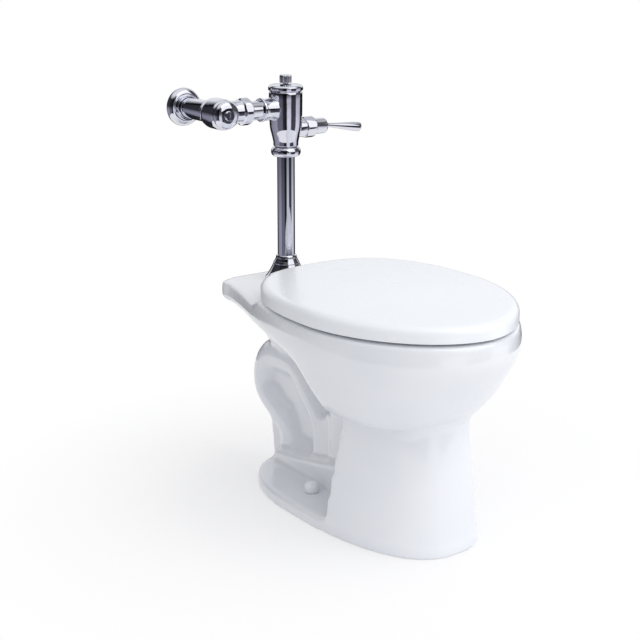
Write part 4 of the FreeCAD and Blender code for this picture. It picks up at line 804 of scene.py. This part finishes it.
def ear(start, top):
    """A lid's ear: a round end about the pin that rises to the lid above it."""
    angle = np.linspace(math.pi, 2.5 * math.pi, 40)
    line = EAR_RADIUS * np.stack([np.cos(angle), np.sin(angle)], -1)
    line = np.concatenate([line, [[0.0, top - HINGE[2]], [-EAR_RADIUS, top - HINGE[2]]]])
    return plate(line, np.zeros(2), start)


def plate(line, centre, start):
    """An ear's plate: an outline about the pin, carried along X from its start and drawn in
    towards a centre at both faces, so that its rims are rounded."""
    places = [0, EAR_BEVEL, EAR_RIM, EAR_WIDTH - EAR_RIM, EAR_WIDTH - EAR_BEVEL, EAR_WIDTH]
    insets = np.array([EAR_RIM, EAR_BEVEL, 0, 0, EAR_BEVEL, EAR_RIM])
    scale = 1 - insets / EAR_RADIUS
    shape = centre + scale[:, None, None] * (line - centre)
    across = start + np.array(places)[:, None, None]
    across = np.broadcast_to(across, (*shape.shape[:2], 1))
    return shell(np.concatenate([across, shape + HINGE[1:]], -1))


class TOILET_OT_seat_ring(bpy.types.Operator):
    """Makes the seat ring: a rounded section carried between the outer egg and the hole"""

    bl_idname = "toilet.seat_ring"
    bl_label = "Seat ring"

    def execute(self, context):
        outer, hole = ring_outlines()
        width = np.linalg.norm(outer - hole, axis=1)
        low, high = RING_SPAN
        turn = np.linspace(0, math.pi / 2, 7)
        bow = settings("seat").ring_rounding * (1 - np.cos(turn))
        rise = settings("seat").ring_rounding * (1 - np.sin(turn))
        low_bow = UNDERSIDE_SHARE * bow
        low_rise = UNDERSIDE_SHARE * rise
        inset = np.concatenate([low_bow[::-1], bow, -bow[::-1], -low_bow])
        height = np.concatenate(
            [low + low_rise[::-1], high - rise, high - rise[::-1], low + low_rise]
        )
        side = np.repeat([0, 1], 2 * len(turn))
        share = side[:, None] + inset[:, None] / width
        flat = outer + (hole - outer) * share[..., None]
        rows = np.concatenate([flat, np.broadcast_to(height[:, None, None], (*share.shape, 1))], -1)
        skins = [shell(rows, closed=True)]
        skins += [bar(start) for start in ear_starts(RING_EAR_INSET)]
        plastic = moulded_plastic()
        piece("ring_shell", skins, "seat", plastic, ("seat_ring",), SEAT_SHARP)
        return {"FINISHED"}


def ring_outlines():
    """The ring's outer line and its hole, point by point at the same angles round its middle.
    The outer line is the lid's, drawn in, and its rear is pressed to the ring's back."""
    outer = drawn_in(lid_outline(), RING_INSET)
    behind = outer[:, 1] + WIDEST
    pressed = behind * (RING_BACK + WIDEST) / behind.max() - WIDEST
    outer[:, 1] = np.where(behind > 0, pressed, outer[:, 1])
    outer = outer[np.argsort(facing(outer))]
    turn = facing(outer)
    hole = egg(**HOLE)
    order = np.argsort(facing(hole))
    reach = np.linalg.norm(hole - RING_MIDDLE, axis=1)[order]
    reach = np.interp(turn, facing(hole)[order], reach, period=2 * math.pi)
    return outer, RING_MIDDLE + reach[:, None] * np.stack([np.cos(turn), np.sin(turn)], -1)


def facing(line):
    """Each point's angle round the ring's middle."""
    return np.arctan2(line[:, 1] - RING_MIDDLE[1], line[:, 0] - RING_MIDDLE[0])


def bar(start):
    """A ring's ear: a bar that runs back from the ring and ends in a half turn about the pin."""
    angle = np.linspace(-math.pi / 2, math.pi / 2, 24)
    round_end = EAR_RADIUS * np.stack([np.cos(angle), np.sin(angle)], -1)
    low = RING_SPAN[0] + BAR_LOW - HINGE[2]
    high = RING_SPAN[1] - BAR_HIGH - HINGE[2]
    near = BAR_FRONT - HINGE[1]
    under = [[near, low], [-BAR_STRAIGHT, low]]
    over = [[-BAR_STRAIGHT, high], [near, high]]
    line = np.maximum(np.concatenate([under, round_end, over]), [near, -EAR_RADIUS])
    return plate(line, line.mean(axis=0), start)


# Profiles of the turned pieces: pairs of a share of their box's radius and one of its length


# The flush tube's radius as a share of its box's, which its flange fills
TUBE = 16 / 19.8
# The cone over the spud: its radii at the foot, the neck and the top, where it starts and stops,
# the power of its sweep, and the height of its rim
CONE_FOOT = 0.99
CONE_NECK = 0.49
CONE_TOP = 0.41
CONE_START = 0.09
CONE_STOP = 0.87
CONE_SWEEP = 0.8
CONE_RIM = 0.06
COUPLING_RING = (
    (0, 0), (0.8, 0), (0.93, 0.12), (1, 0.32), (1, 0.62), (0.93, 0.86), (0.82, 1), (0, 1)
)


class TOILET_OT_flush_tube(bpy.types.Operator):
    """Makes the chromed tube, the cone over the spud and the coupling nut at the top"""

    bl_idname = "toilet.flush_tube"
    bl_label = "Flush tube"

    def execute(self, context):
        tube = in_box("flush_tube", "Z", [(0, 0), (TUBE, 0), (TUBE, 1), (0, 1)], around=96)
        chromed("flush_tube_skin", [tube], ("flush_tube",))
        turn = np.linspace(0, 1, 16)
        radius = CONE_FOOT - (CONE_FOOT - CONE_NECK) * turn**CONE_SWEEP
        cone = np.stack([radius, CONE_START + (CONE_STOP - CONE_START) * turn], -1)
        top = dome(CONE_TOP, CONE_NECK, CONE_STOP, 1, steps=10)
        profile = np.concatenate([[(0, 0), (1, 0), (1, CONE_RIM)], cone, top, [(0, 1)]])
        cover = in_box("spud_cover", "Z", profile, around=96)
        chromed("spud_cover_skin", [cover], ("spud_cover",))
        nut = in_box("tube_coupling_nut", "Z", COUPLING_RING, edge=0.003, around=96)
        chromed("coupling_ring", [nut], ("tube_coupling_nut",))
        return {"FINISHED"}


# Height above the floor at which the valve's barrel begins, in metres
SHOULDER_HEIGHT = 0.644
# The valve's thread, neck and swell below that, its radius there, and its barrel above
VALVE_FOOT = ((0, 0), (0.667, 0), (0.667, 0.085), (0.75, 0.1), (0.75, 0.16), (0.84, 0.27))
VALVE_SHOULDER = 0.95
VALVE_BARREL = ((0.985, 0.55), (1, 0.8), (1, 1), (0, 1))
CAP = (
    (0, 0.46), (0.8, 0.46), (0.8, 0), (0.87, 0), (0.87, 0.42), (1, 0.44), (1, 0.72), (0.9, 0.84),
    (0.45, 0.94), (0.36, 0.95), (0, 0.95),
)
KNOB = (
    (0, 0), (0.45, 0), (0.45, 0.5), (0.94, 0.5), (1, 0.54), (1, 0.9), (0.9, 0.98), (0.6, 1), (0, 1)
)
# The valve's two bosses, in metres: the radius of the handle's; the root, neck and collar of the
# inlet's, and how far before its end the collar starts and is full
HANDLE_BOSS = 0.0165
INLET_ROOT = ((0, 0.0262), (0.0215, 0.0262), (0.0205, 0.030), (0.019, 0.036))
INLET_NECK = 0.019
INLET_COLLAR = 0.021
COLLAR_STARTS = 0.006
COLLAR_FULL = 0.005


class TOILET_OT_flush_valve(bpy.types.Operator):
    """Makes the valve's cast body with its two bosses, the cap and the regulating screw"""

    bl_idname = "toilet.flush_valve"
    bl_label = "Flush valve"

    def execute(self, context):
        low, high = corners_of("valve_body")
        shoulder = (SHOULDER_HEIGHT - low[2]) / (high[2] - low[2])
        profile = [*VALVE_FOOT, (VALVE_SHOULDER, shoulder), *VALVE_BARREL]
        upright = (0, VALVE_LINE, 0)
        barrel = in_box("valve_body", "Z", profile, centre=upright, edge=0.007, around=120)
        handle_boss = turned(
            [(0, 0), (HANDLE_BOSS, 0), (HANDLE_BOSS, high[0]), (0, high[0])],
            "X", (0, VALVE_LINE, HANDLE_HEIGHT), edge=0.0008,
        )
        reach = -low[0]
        inlet_boss = turned(
            [
                *INLET_ROOT, (INLET_NECK, reach - COLLAR_STARTS),
                (INLET_COLLAR, reach - COLLAR_FULL), (INLET_COLLAR, reach), (0, reach),
            ],
            "-X", (0, VALVE_LINE, INLET_HEIGHT), edge=0.003,
        )
        skins = [barrel, handle_boss, inlet_boss]
        chromed("valve_casting", skins, ("valve_body",), cast=True)
        cap = in_box("top_cap", "Z", CAP, edge=0.0012, around=96)
        chromed("valve_cap", [cap], ("top_cap",))
        knob = in_box(
            "regulating_screw", "Z", KNOB, edge=0.0008, around=160, ribs=16, rib_depth=0.09
        )
        chromed("screw_knob", [knob], ("regulating_screw",), "regulator")
        return {"FINISHED"}


HANDLE_NUT = ((0, 0), (0.88, 0), (1.0, 0.1), (1.0, 0.86), (0.84, 1), (0, 1))
# The handle's socket, in metres: its bore, its mouth for the lever and the wall round the mouth
SOCKET_BORE = 0.0115
SOCKET_MOUTH = 0.0078
SOCKET_WALL = 0.003
# In shares of its box: its collar, the radius of its neck and the narrowed radius of its face
SOCKET_COLLAR = ((1, 0), (1, 0.11), (0.848, 0.13))
SOCKET_NECK = 0.848
SOCKET_FACE = 0.72


class TOILET_OT_flush_handle(bpy.types.Operator):
    """Makes the handle's nut and socket and the flared lever"""

    bl_idname = "toilet.flush_handle"
    bl_label = "Flush handle"

    def execute(self, context):
        nut = in_box(
            "handle_nut", "X", HANDLE_NUT, edge=0.001, around=144, flats=8, flat_radius=0.955
        )
        chromed("handle_nut_skin", [nut], ("handle_nut",))
        low, high = corners_of("handle_socket")
        half = (high[2] - low[2]) / 2
        bore = SOCKET_BORE / half
        mouth = SOCKET_MOUTH / half
        face = 1 - SOCKET_WALL / (high[0] - low[0])
        outside = [(bore, 0), *SOCKET_COLLAR, (SOCKET_NECK, face), (SOCKET_FACE, 1)]
        profile = outside + [(mouth, 1), (mouth, face), (bore, face)]
        socket = in_box("handle_socket", "X", profile, edge=0.0012, around=96, closed=True)
        chromed("handle_socket_skin", [socket], ("handle_socket",))
        chromed("flush_lever_skin", lever(), ("flush_lever",), "lever")
        return {"FINISHED"}


# The lever, in metres: the disc that rocks in the socket, the root, and where the arm bends off
LEVER_DISC = 0.01
LEVER_DISC_WIDTH = 0.004
LEVER_ROOT = 0.00375
LEVER_ROOT_END = 0.0925
LEVER_BEND = 0.08975
# The arm, in metres: its drop to the tip, the tip's radius and rounded edge, and the room that
# it leaves in its box; then the rounded end's reach as a share of the arm, and the flare's power
LEVER_DROP = 0.009
LEVER_TIP = 0.0085
LEVER_TIP_EDGE = 0.0017
LEVER_TIP_ROOM = 0.0016
LEVER_TIP_REACH = 0.008
LEVER_FLARE = 0.9


def lever():
    """The lever: a disc and a thin root on the X axis, then an arm that droops straight and
    flares from the root's radius to the tip's by a smooth step of the way along."""
    low, high = corners_of("flush_lever")
    centre = np.array([0.0, (low[1] + high[1]) / 2, high[2] - (high[1] - low[1]) / 2])
    root = turned(
        [
            (0, low[0]), (LEVER_DISC, low[0]), (LEVER_DISC, low[0] + LEVER_DISC_WIDTH),
            (LEVER_ROOT, low[0] + LEVER_DISC_WIDTH), (LEVER_ROOT, LEVER_ROOT_END),
            (0, LEVER_ROOT_END),
        ],
        "X", centre, edge=0.0005, around=64,
    )
    way = np.array([high[0] - LEVER_TIP_ROOM - LEVER_BEND, 0.0, -LEVER_DROP])
    run = np.linspace(0, 1, 40)
    flare = LEVER_ROOT + (LEVER_TIP - LEVER_ROOT) * eased(run, 0, 1) ** LEVER_FLARE
    tip = np.linspace(0, math.pi / 2, 8)[1:]
    run = np.concatenate([run, 1 + LEVER_TIP_REACH * np.sin(tip)])
    flare = np.concatenate([flare, LEVER_TIP - LEVER_TIP_EDGE * (1 - np.cos(tip))])
    angle = np.linspace(0, 2 * math.pi, 64, endpoint=False)[:, None]
    along = np.array([0, 1.0, 0])
    up = np.cross(along, way / np.linalg.norm(way))
    ring = np.sin(angle) * along - np.cos(angle) * up
    rows = centre + [LEVER_BEND, 0, 0] + run[:, None, None] * way + flare[:, None, None] * ring
    rows[..., 0] = np.minimum(rows[..., 0], high[0])
    return [root, shell(rows)]


# The angle stop's barrel, in shares of its radius and its length: its foot, where its straight
# side ends, and its narrowing end
STOP_FOOT = 0.86
STOP_STRAIGHT = 0.7
STOP_END = ((0.9, 0.86), (0.78, 1))
# In metres: the height of the foot's slope and the outlet's radius
STOP_FOOT_HEIGHT = 0.006
STOP_OUTLET = 0.02
BONNET_RIM = ((0, 0), (0.9, 0), (1, 0.3))
TAILPIECE_NUT = (
    (0, 0), (0.86, 0), (1.0, 0.09), (1.0, 0.5), (0.84, 0.6), (0.84, 0.94), (0.8, 1), (0, 1)
)
TAILPIECE = ((0, 0), (0.842, 0), (0.842, 0.92), (1, 0.93), (1, 1), (0, 1))


class TOILET_OT_angle_stop(bpy.types.Operator):
    """Makes the angle stop: casting, domed bonnet, slotted screw, tailpiece and its nut"""

    bl_idname = "toilet.angle_stop"
    bl_label = "Angle stop"

    def execute(self, context):
        low, high = corners_of("stop_body")
        radius = (high[2] - low[2]) / 2
        reach = high[1] - low[1]
        across = low[0] + radius
        height = (low[2] + high[2]) / 2
        barrel = turned(
            [
                (0, 0), (STOP_FOOT * radius, 0), (radius, STOP_FOOT_HEIGHT),
                (radius, STOP_STRAIGHT * reach),
                *((share * radius, rise * reach) for share, rise in STOP_END), (0, reach),
            ],
            "Y", (across, low[1], height), edge=0.004, around=96,
        )
        side = high[0] - across
        outlet = turned(
            [(0, 0), (STOP_OUTLET, 0), (STOP_OUTLET, side), (0, side)],
            "X", (across, VALVE_LINE, height), edge=0.001, around=96,
        )
        chromed("stop_casting", [barrel, outlet], ("stop_body",), cast=True)
        top = dome(inner=0.36, outer=1, low=0.45, high=1)
        profile = np.concatenate([BONNET_RIM, top, [(0, 1)]])
        bonnet = in_box("stop_bonnet", "-Y", profile, edge=0.0006, around=96)
        chromed("stop_dome", [bonnet], ("stop_bonnet",))
        chromed("stop_screw_head", [slotted_head()], ("stop_screw",), "stop_screw_body")
        nut = in_box(
            "tailpiece_nut", "-X", TAILPIECE_NUT, edge=0.0012, around=144, flats=8, flat_radius=0.96
        )
        chromed("tailpiece_nut_skin", [nut], ("tailpiece_nut",))
        tail = in_box("tailpiece", "-X", TAILPIECE, around=96)
        chromed("tailpiece_skin", [tail], ("tailpiece",))
        return {"FINISHED"}


# The stop's screw, in shares of its head's radius: its stem and the head's two faces
SCREW_STEM = 0.59
HEAD_UNDER = 0.97
HEAD_FACE = 0.95
# In metres: the head's height and rim, and the slot's half width, soft side and depth
HEAD_HEIGHT = 0.003
HEAD_RIM = 0.0006
FACE_DEPTH = 0.0007
SLOT_HALF_WIDTH = 0.0011
SLOT_SIDE = 0.0003
SLOT_DEPTH = 0.0016


def slotted_head():
    """The stop's screw: a stem and a head whose face has a straight slot. The face is lowered by
    the slot's depth where the distance from the slot's line is small, less so at its sides."""
    low, high = corners_of("stop_screw")
    radius = (high[2] - low[2]) / 2
    reach = high[1] - low[1]
    under = reach - HEAD_HEIGHT
    stem = [(0, 0), (SCREW_STEM * radius, 0), (SCREW_STEM * radius, under)]
    head = [(HEAD_UNDER * radius, under), (radius, under + HEAD_RIM)]
    head += [(radius, reach - HEAD_RIM), (HEAD_FACE * radius, reach)]
    rings = np.linspace(0.93, 0.04, 24)
    face = np.stack([rings * radius, np.full(len(rings), reach)], -1)
    points, faces = lathe(np.concatenate([stem, head, face]), around=120)
    top = points[:, 2] > reach - FACE_DEPTH
    near = np.clip((SLOT_HALF_WIDTH - np.abs(points[:, 0])) / SLOT_SIDE, 0, 1)
    points[:, 2] -= np.where(top, near * SLOT_DEPTH, 0)
    middle = (low + high) / 2
    return placed((points, faces), "-Y", (middle[0], high[1], middle[2]))


COVER_RING = ((0.78, 0), (1, 0), (1, 1), (0.78, 1))
FLANGE_HUB = ((0.676, 0.64), (0.676, 1), (0.56, 1), (0.56, 0))


class TOILET_OT_wall_supply(bpy.types.Operator):
    """Makes the cover pipe and the domed wall flange"""

    bl_idname = "toilet.wall_supply"
    bl_label = "Wall supply"

    def execute(self, context):
        pipe = in_box("cover_pipe", "Y", COVER_RING, around=96, closed=True)
        chromed("cover_pipe_skin", [pipe], ("cover_pipe",))
        bell = dome(inner=0.68, outer=1, low=0.06, high=0.62)
        profile = np.concatenate([[(1, 0)], bell, FLANGE_HUB])
        flange = in_box("wall_flange", "-Y", profile, around=96, closed=True)
        chromed("wall_flange_skin", [flange], ("wall_flange",))
        return {"FINISHED"}


# The share of a bolt cap's height that its straight skirt takes
CAP_SKIRT = 0.45


class TOILET_OT_bolt_caps(bpy.types.Operator):
    """Makes the two domed caps over the floor bolts"""

    bl_idname = "toilet.bolt_caps"
    bl_label = "Bolt caps"

    def execute(self, context):
        low, high = corners_of("bolt_caps")
        radius = (high[1] - low[1]) / 2
        shape = np.concatenate([[(0, 0), (1, 0)], dome(0, 1, CAP_SKIRT, 1)[:-1], [(0, 1)]])
        profile = shape * [radius, high[2] - low[2]]
        skins = [
            turned(profile, "Z", (across, 0, low[2]), edge=0.0006, around=64)
            for across in (low[0] + radius, high[0] - radius)
        ]
        piece("bolt_cap_domes", skins, "fixture", moulded_plastic(), ("bolt_caps",))
        return {"FINISHED"}


class TOILET_OT_carried_nodes(bpy.types.Operator):
    """Gives every frame piece that stays in view its own finish"""

    bl_idname = "toilet.carried_nodes"
    bl_label = "Carried pieces"

    def execute(self, context):
        slots = {part["node"]: part["material_slot"] for part in frame["record"]["subparts"]}
        for name, thing in frame["nodes"].items():
            thing.data.materials.clear()
            thing.data.materials.append(slot_material(slots[name]))
        return {"FINISHED"}


# The lamp: its size, its place and where it points, in metres
LAMP_SIZE = 2.6
LAMP_PLACE = Vector((0.6, -1.8, 2.2))
LAMP_TARGET = Vector((0, -0.05, 0.35))
# The camera, fitted to the photograph: its place in metres, its turn, tilt and roll in degrees,
# and the width of its film in millimetres
CAMERA_PLACE = (-1.3432, -1.7516, 0.9855)
CAMERA_TURN = -36.26
CAMERA_TILT = 16.56
CAMERA_ROLL = 0.16
FILM_WIDTH = 36


class TOILET_OT_stage(bpy.types.Operator):
    """Sets the pale floor, the soft lights and the camera"""

    bl_idname = "toilet.stage"
    bl_label = "Stage"

    def execute(self, context):
        stage = settings("stage")
        turn = np.linspace(0, 2 * math.pi, 96, endpoint=False)
        rim = stage.floor_radius * np.stack([np.cos(turn), np.sin(turn), 0 * turn], -1)
        mesh = mesh_of("floor", rim, [list(range(len(rim)))])
        mesh.materials.append(floor_paint())
        floor = bpy.data.objects.new("floor", mesh)
        context.scene.collection.objects.link(floor)
        studio_world(context.scene)
        lamp = bpy.data.lights.new("overhead", "AREA")
        lamp.shape = "RECTANGLE"
        lamp.size = LAMP_SIZE
        lamp.size_y = LAMP_SIZE
        lamp.energy = stage.key
        overhead = bpy.data.objects.new("overhead", lamp)
        overhead.matrix_world = looking(LAMP_PLACE, LAMP_TARGET)
        context.scene.collection.objects.link(overhead)
        lens = bpy.data.cameras.new("camera")
        lens.lens = stage.lens
        lens.sensor_width = FILM_WIDTH
        camera = bpy.data.objects.new("camera", lens)
        camera.matrix_world = photo_view()
        context.scene.collection.objects.link(camera)
        context.scene.camera = camera
        context.scene.view_settings.view_transform = "Standard"
        return {"FINISHED"}


def photo_view():
    """The camera's place and turn: it looks along its own -Z, tilted down from level."""
    turn = Matrix.Rotation(math.radians(CAMERA_TURN), 4, "Z")
    tilt = Matrix.Rotation(math.radians(90 - CAMERA_TILT), 4, "X")
    roll = Matrix.Rotation(math.radians(CAMERA_ROLL), 4, "Z")
    return Matrix.Translation(CAMERA_PLACE) @ turn @ tilt @ roll


def looking(place, target):
    """A lamp's place and turn, with its -Z towards a target."""
    turn = (target - place).to_track_quat("-Z", "Y").to_matrix().to_4x4()
    return Matrix.Translation(place) @ turn


WHITE = (1, 1, 1, 1)
# Shares of the floor's radius between which its paint is lost in the white of the backdrop, and
# the share of white that it starts from
FADE_START = 0.24
FADE_STOP = 0.6
FADE_LEAST = 0.5
# Size of the floor's unevenness in metres
FLOOR_CLOUD = 0.4


def floor_paint():
    """Matt painted studio floor: pale, with a very faint unevenness. For the camera and in
    mirrors it is lost in the white of the backdrop towards its rim."""
    stage = settings("stage")
    material = bpy.data.materials.new("painted_studio_floor")
    tree = emptied(material)
    place = add_node(tree, "ShaderNodeTexCoord", out="Object")
    cloud = add_node(tree, "ShaderNodeTexNoise", {
        "Vector": place, "Scale": 1 / FLOOR_CLOUD, "Detail": 2.0
    }, out="Fac")
    tint = add_node(tree, "ShaderNodeMix", {
        0: cloud, MIX_FIRST: opaque(stage.floor), MIX_SECOND: opaque(scaled(stage.floor, 0.985))
    }, data_type="RGBA", out=MIX_RESULT)
    paint = add_node(tree, "ShaderNodeBsdfPrincipled", {
        "Base Color": tint, "Roughness": 1.0, "Specular IOR Level": 0.0
    }, out="BSDF")
    glow = add_node(tree, "ShaderNodeEmission", {"Color": WHITE, "Strength": 1.0}, out="Emission")
    reach = add_node(tree, "ShaderNodeVectorMath", {0: place}, operation="LENGTH", out="Value")
    fade = add_node(tree, "ShaderNodeMapRange", {
        "Value": reach, "To Min": FADE_LEAST, "To Max": 1,
        "From Min": FADE_START * stage.floor_radius, "From Max": FADE_STOP * stage.floor_radius,
    }, out="Result")
    rays = add_node(tree, "ShaderNodeLightPath").outputs
    seen = add_node(tree, "ShaderNodeMath", {
        0: rays["Is Camera Ray"], 1: rays["Is Glossy Ray"]
    }, operation="MAXIMUM", out=0)
    share = add_node(tree, "ShaderNodeMath", {0: fade, 1: seen}, operation="MULTIPLY", out=0)
    mix = add_node(tree, "ShaderNodeMixShader", {0: share, 1: paint, 2: glow}, out=0)
    add_node(tree, "ShaderNodeOutputMaterial", {"Surface": mix})
    return material


# The studio's walls as metal sees them: degrees round from the camera's side, and brightness
WALLS = (
    (0, 0.02), (14, 0.04), (24, 0.22), (58, 0.2), (64, 0.45), (118, 0.34), (126, 0.03), (180, 0.02),
    (240, 0.03), (246, 0.8), (280, 0.95), (286, 0.1), (318, 0.08), (324, 0.95), (348, 0.9),
    (352, 0.03), (360, 0.02),
)
# Dark walls are bluer than bright ones: red and green are this much of blue, and so much more
# for each unit of brightness
DARK_SHARE = 0.74
BRIGHT_SHARE = 0.2
# The studio's ceiling and its screen ahead as metal sees them
PALE = (0.93, 0.94, 0.96, 1)
# The way to the studio's bright side: to the right of the camera, above and before the object
BRIGHT_SIDE = (0.3, -0.7, 0.5)
# The way the camera looks, on the level: a pale screen stands there
AHEAD = (0.591, 0.806, 0.0)
# Start, stop and the values there: by a direction's upward part for the ceiling, the screen's
# foot and the walls' shade above eye level, and by how far it goes ahead for the screen
CEILING = (0.6, 0.85, 0, 1)
SCREEN = (0.55, 0.8, 0, 1)
SCREEN_FOOT = (0.0, 0.12, 0, 1)
WALL_SHADE = (-0.22, 0.05, 1.0, 0.12)


def wall_colours(tree, way):
    """The walls' colours round the upright axis, by the angle of a direction: a colour ramp."""
    parts = add_node(tree, "ShaderNodeSeparateXYZ", {0: way}).outputs
    angle = add_node(
        tree, "ShaderNodeMath", {0: parts["X"], 1: parts["Y"]}, operation="ARCTAN2", out=0
    )
    share = add_node(tree, "ShaderNodeMath", {
        0: angle, 1: 1 / (2 * math.pi), 2: 0.5 + CAMERA_TURN / 360
    }, operation="MULTIPLY_ADD", out=0)
    wrapped = add_node(
        tree, "ShaderNodeMath", {0: share, 1: 1.0}, operation="FLOORED_MODULO", out=0
    )
    ramp = add_node(tree, "ShaderNodeValToRGB", {0: wrapped})
    stops = ramp.color_ramp.elements
    for place, bright in WALLS[1:-1]:
        stops.new(place / 360)
    for stop, (place, bright) in zip(stops, WALLS):
        red_green = bright * (DARK_SHARE + BRIGHT_SHARE * bright)
        stop.position = place / 360
        stop.color = (red_green, red_green, bright, 1)
    return ramp.outputs[0]


def studio_world(scene):
    """Soft light all round that leans to the bright side. The camera sees white; mirrors see the
    studio's dark and pale walls under a pale ceiling and with a pale screen ahead."""
    stage = settings("stage")
    world = bpy.data.worlds.new("studio")
    scene.world = world
    tree = emptied(world)
    way = add_node(tree, "ShaderNodeTexCoord", out="Generated")
    up = add_node(tree, "ShaderNodeSeparateXYZ", {0: way}, out="Z")
    ahead, side = (
        add_node(
            tree, "ShaderNodeVectorMath", {0: way, 1: target}, operation="DOT_PRODUCT", out="Value"
        )
        for target in (AHEAD, BRIGHT_SIDE)
    )
    ceiling, screen, screen_foot, wall_shade = (
        add_node(tree, "ShaderNodeMapRange", {
            "Value": value, "From Min": start, "From Max": stop, "To Min": first, "To Max": last
        }, out="Result")
        for value, (start, stop, first, last) in (
            (up, CEILING), (ahead, SCREEN), (up, SCREEN_FOOT), (up, WALL_SHADE)
        )
    )
    standing = add_node(
        tree, "ShaderNodeMath", {0: screen, 1: screen_foot}, operation="MULTIPLY", out=0
    )
    pale = add_node(tree, "ShaderNodeMath", {0: ceiling, 1: standing}, operation="MAXIMUM", out=0)
    shaded = add_node(tree, "ShaderNodeVectorMath", {
        0: wall_colours(tree, way), 1: wall_shade
    }, operation="MULTIPLY", out=0)
    walls = add_node(tree, "ShaderNodeMix", {
        0: pale, MIX_FIRST: shaded, MIX_SECOND: PALE
    }, data_type="RGBA", out=MIX_RESULT)
    soft = add_node(tree, "ShaderNodeMath", {
        0: side, 1: stage.lean, 2: stage.sky
    }, operation="MULTIPLY_ADD", out=0)
    rays = add_node(tree, "ShaderNodeLightPath").outputs
    seen = add_node(tree, "ShaderNodeMix", {
        0: rays["Is Glossy Ray"], MIX_FIRST: soft, MIX_SECOND: walls
    }, data_type="RGBA", out=MIX_RESULT)
    direct = add_node(tree, "ShaderNodeMath", {
        0: rays["Is Camera Ray"], 1: rays["Is Transmission Ray"]
    }, operation="MAXIMUM", out=0)
    light = add_node(tree, "ShaderNodeMix", {
        0: direct, MIX_FIRST: seen, MIX_SECOND: WHITE
    }, data_type="RGBA", out=MIX_RESULT)
    back = add_node(tree, "ShaderNodeBackground", {"Color": light, "Strength": 1.0}, out=0)
    add_node(tree, "ShaderNodeOutputWorld", {"Surface": back})


OPERATORS = (
    TOILET_OT_carried_nodes, TOILET_OT_china_bowl, TOILET_OT_seat_ring, TOILET_OT_seat_lid,
    TOILET_OT_flush_tube, TOILET_OT_flush_valve, TOILET_OT_flush_handle, TOILET_OT_angle_stop,
    TOILET_OT_wall_supply, TOILET_OT_bolt_caps, TOILET_OT_stage,
)


class TOILET_PT_panel(bpy.types.Panel):
    """Lists the settings and the steps that build the toilet"""

    bl_idname = "TOILET_PT_panel"
    bl_label = "Toilet"
    bl_space_type = "VIEW_3D"
    bl_region_type = "UI"
    bl_category = "Toilet"

    def draw(self, context):
        for kind, group in SETTINGS.items():
            box = self.layout.box()
            for name in group.__annotations__:
                box.prop(settings(kind), name)
        for operator in OPERATORS:
            self.layout.operator(operator.bl_idname)


CLASSES = (*SETTINGS.values(), *OPERATORS, TOILET_PT_panel)


def register():
    for kind in CLASSES:
        bpy.utils.register_class(kind)
    for name, group in SETTINGS.items():
        setattr(bpy.types.Scene, "toilet_" + name, PointerProperty(type=group))


def unregister():
    for name in SETTINGS:
        delattr(bpy.types.Scene, "toilet_" + name)
    for kind in reversed(CLASSES):
        bpy.utils.unregister_class(kind)


def main():
    """Registers the add-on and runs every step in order."""
    register()
    for operator in OPERATORS:
        group, step = operator.bl_idname.split(".")
        getattr(getattr(bpy.ops, group), step)()


if __name__ == "__main__":
    main()
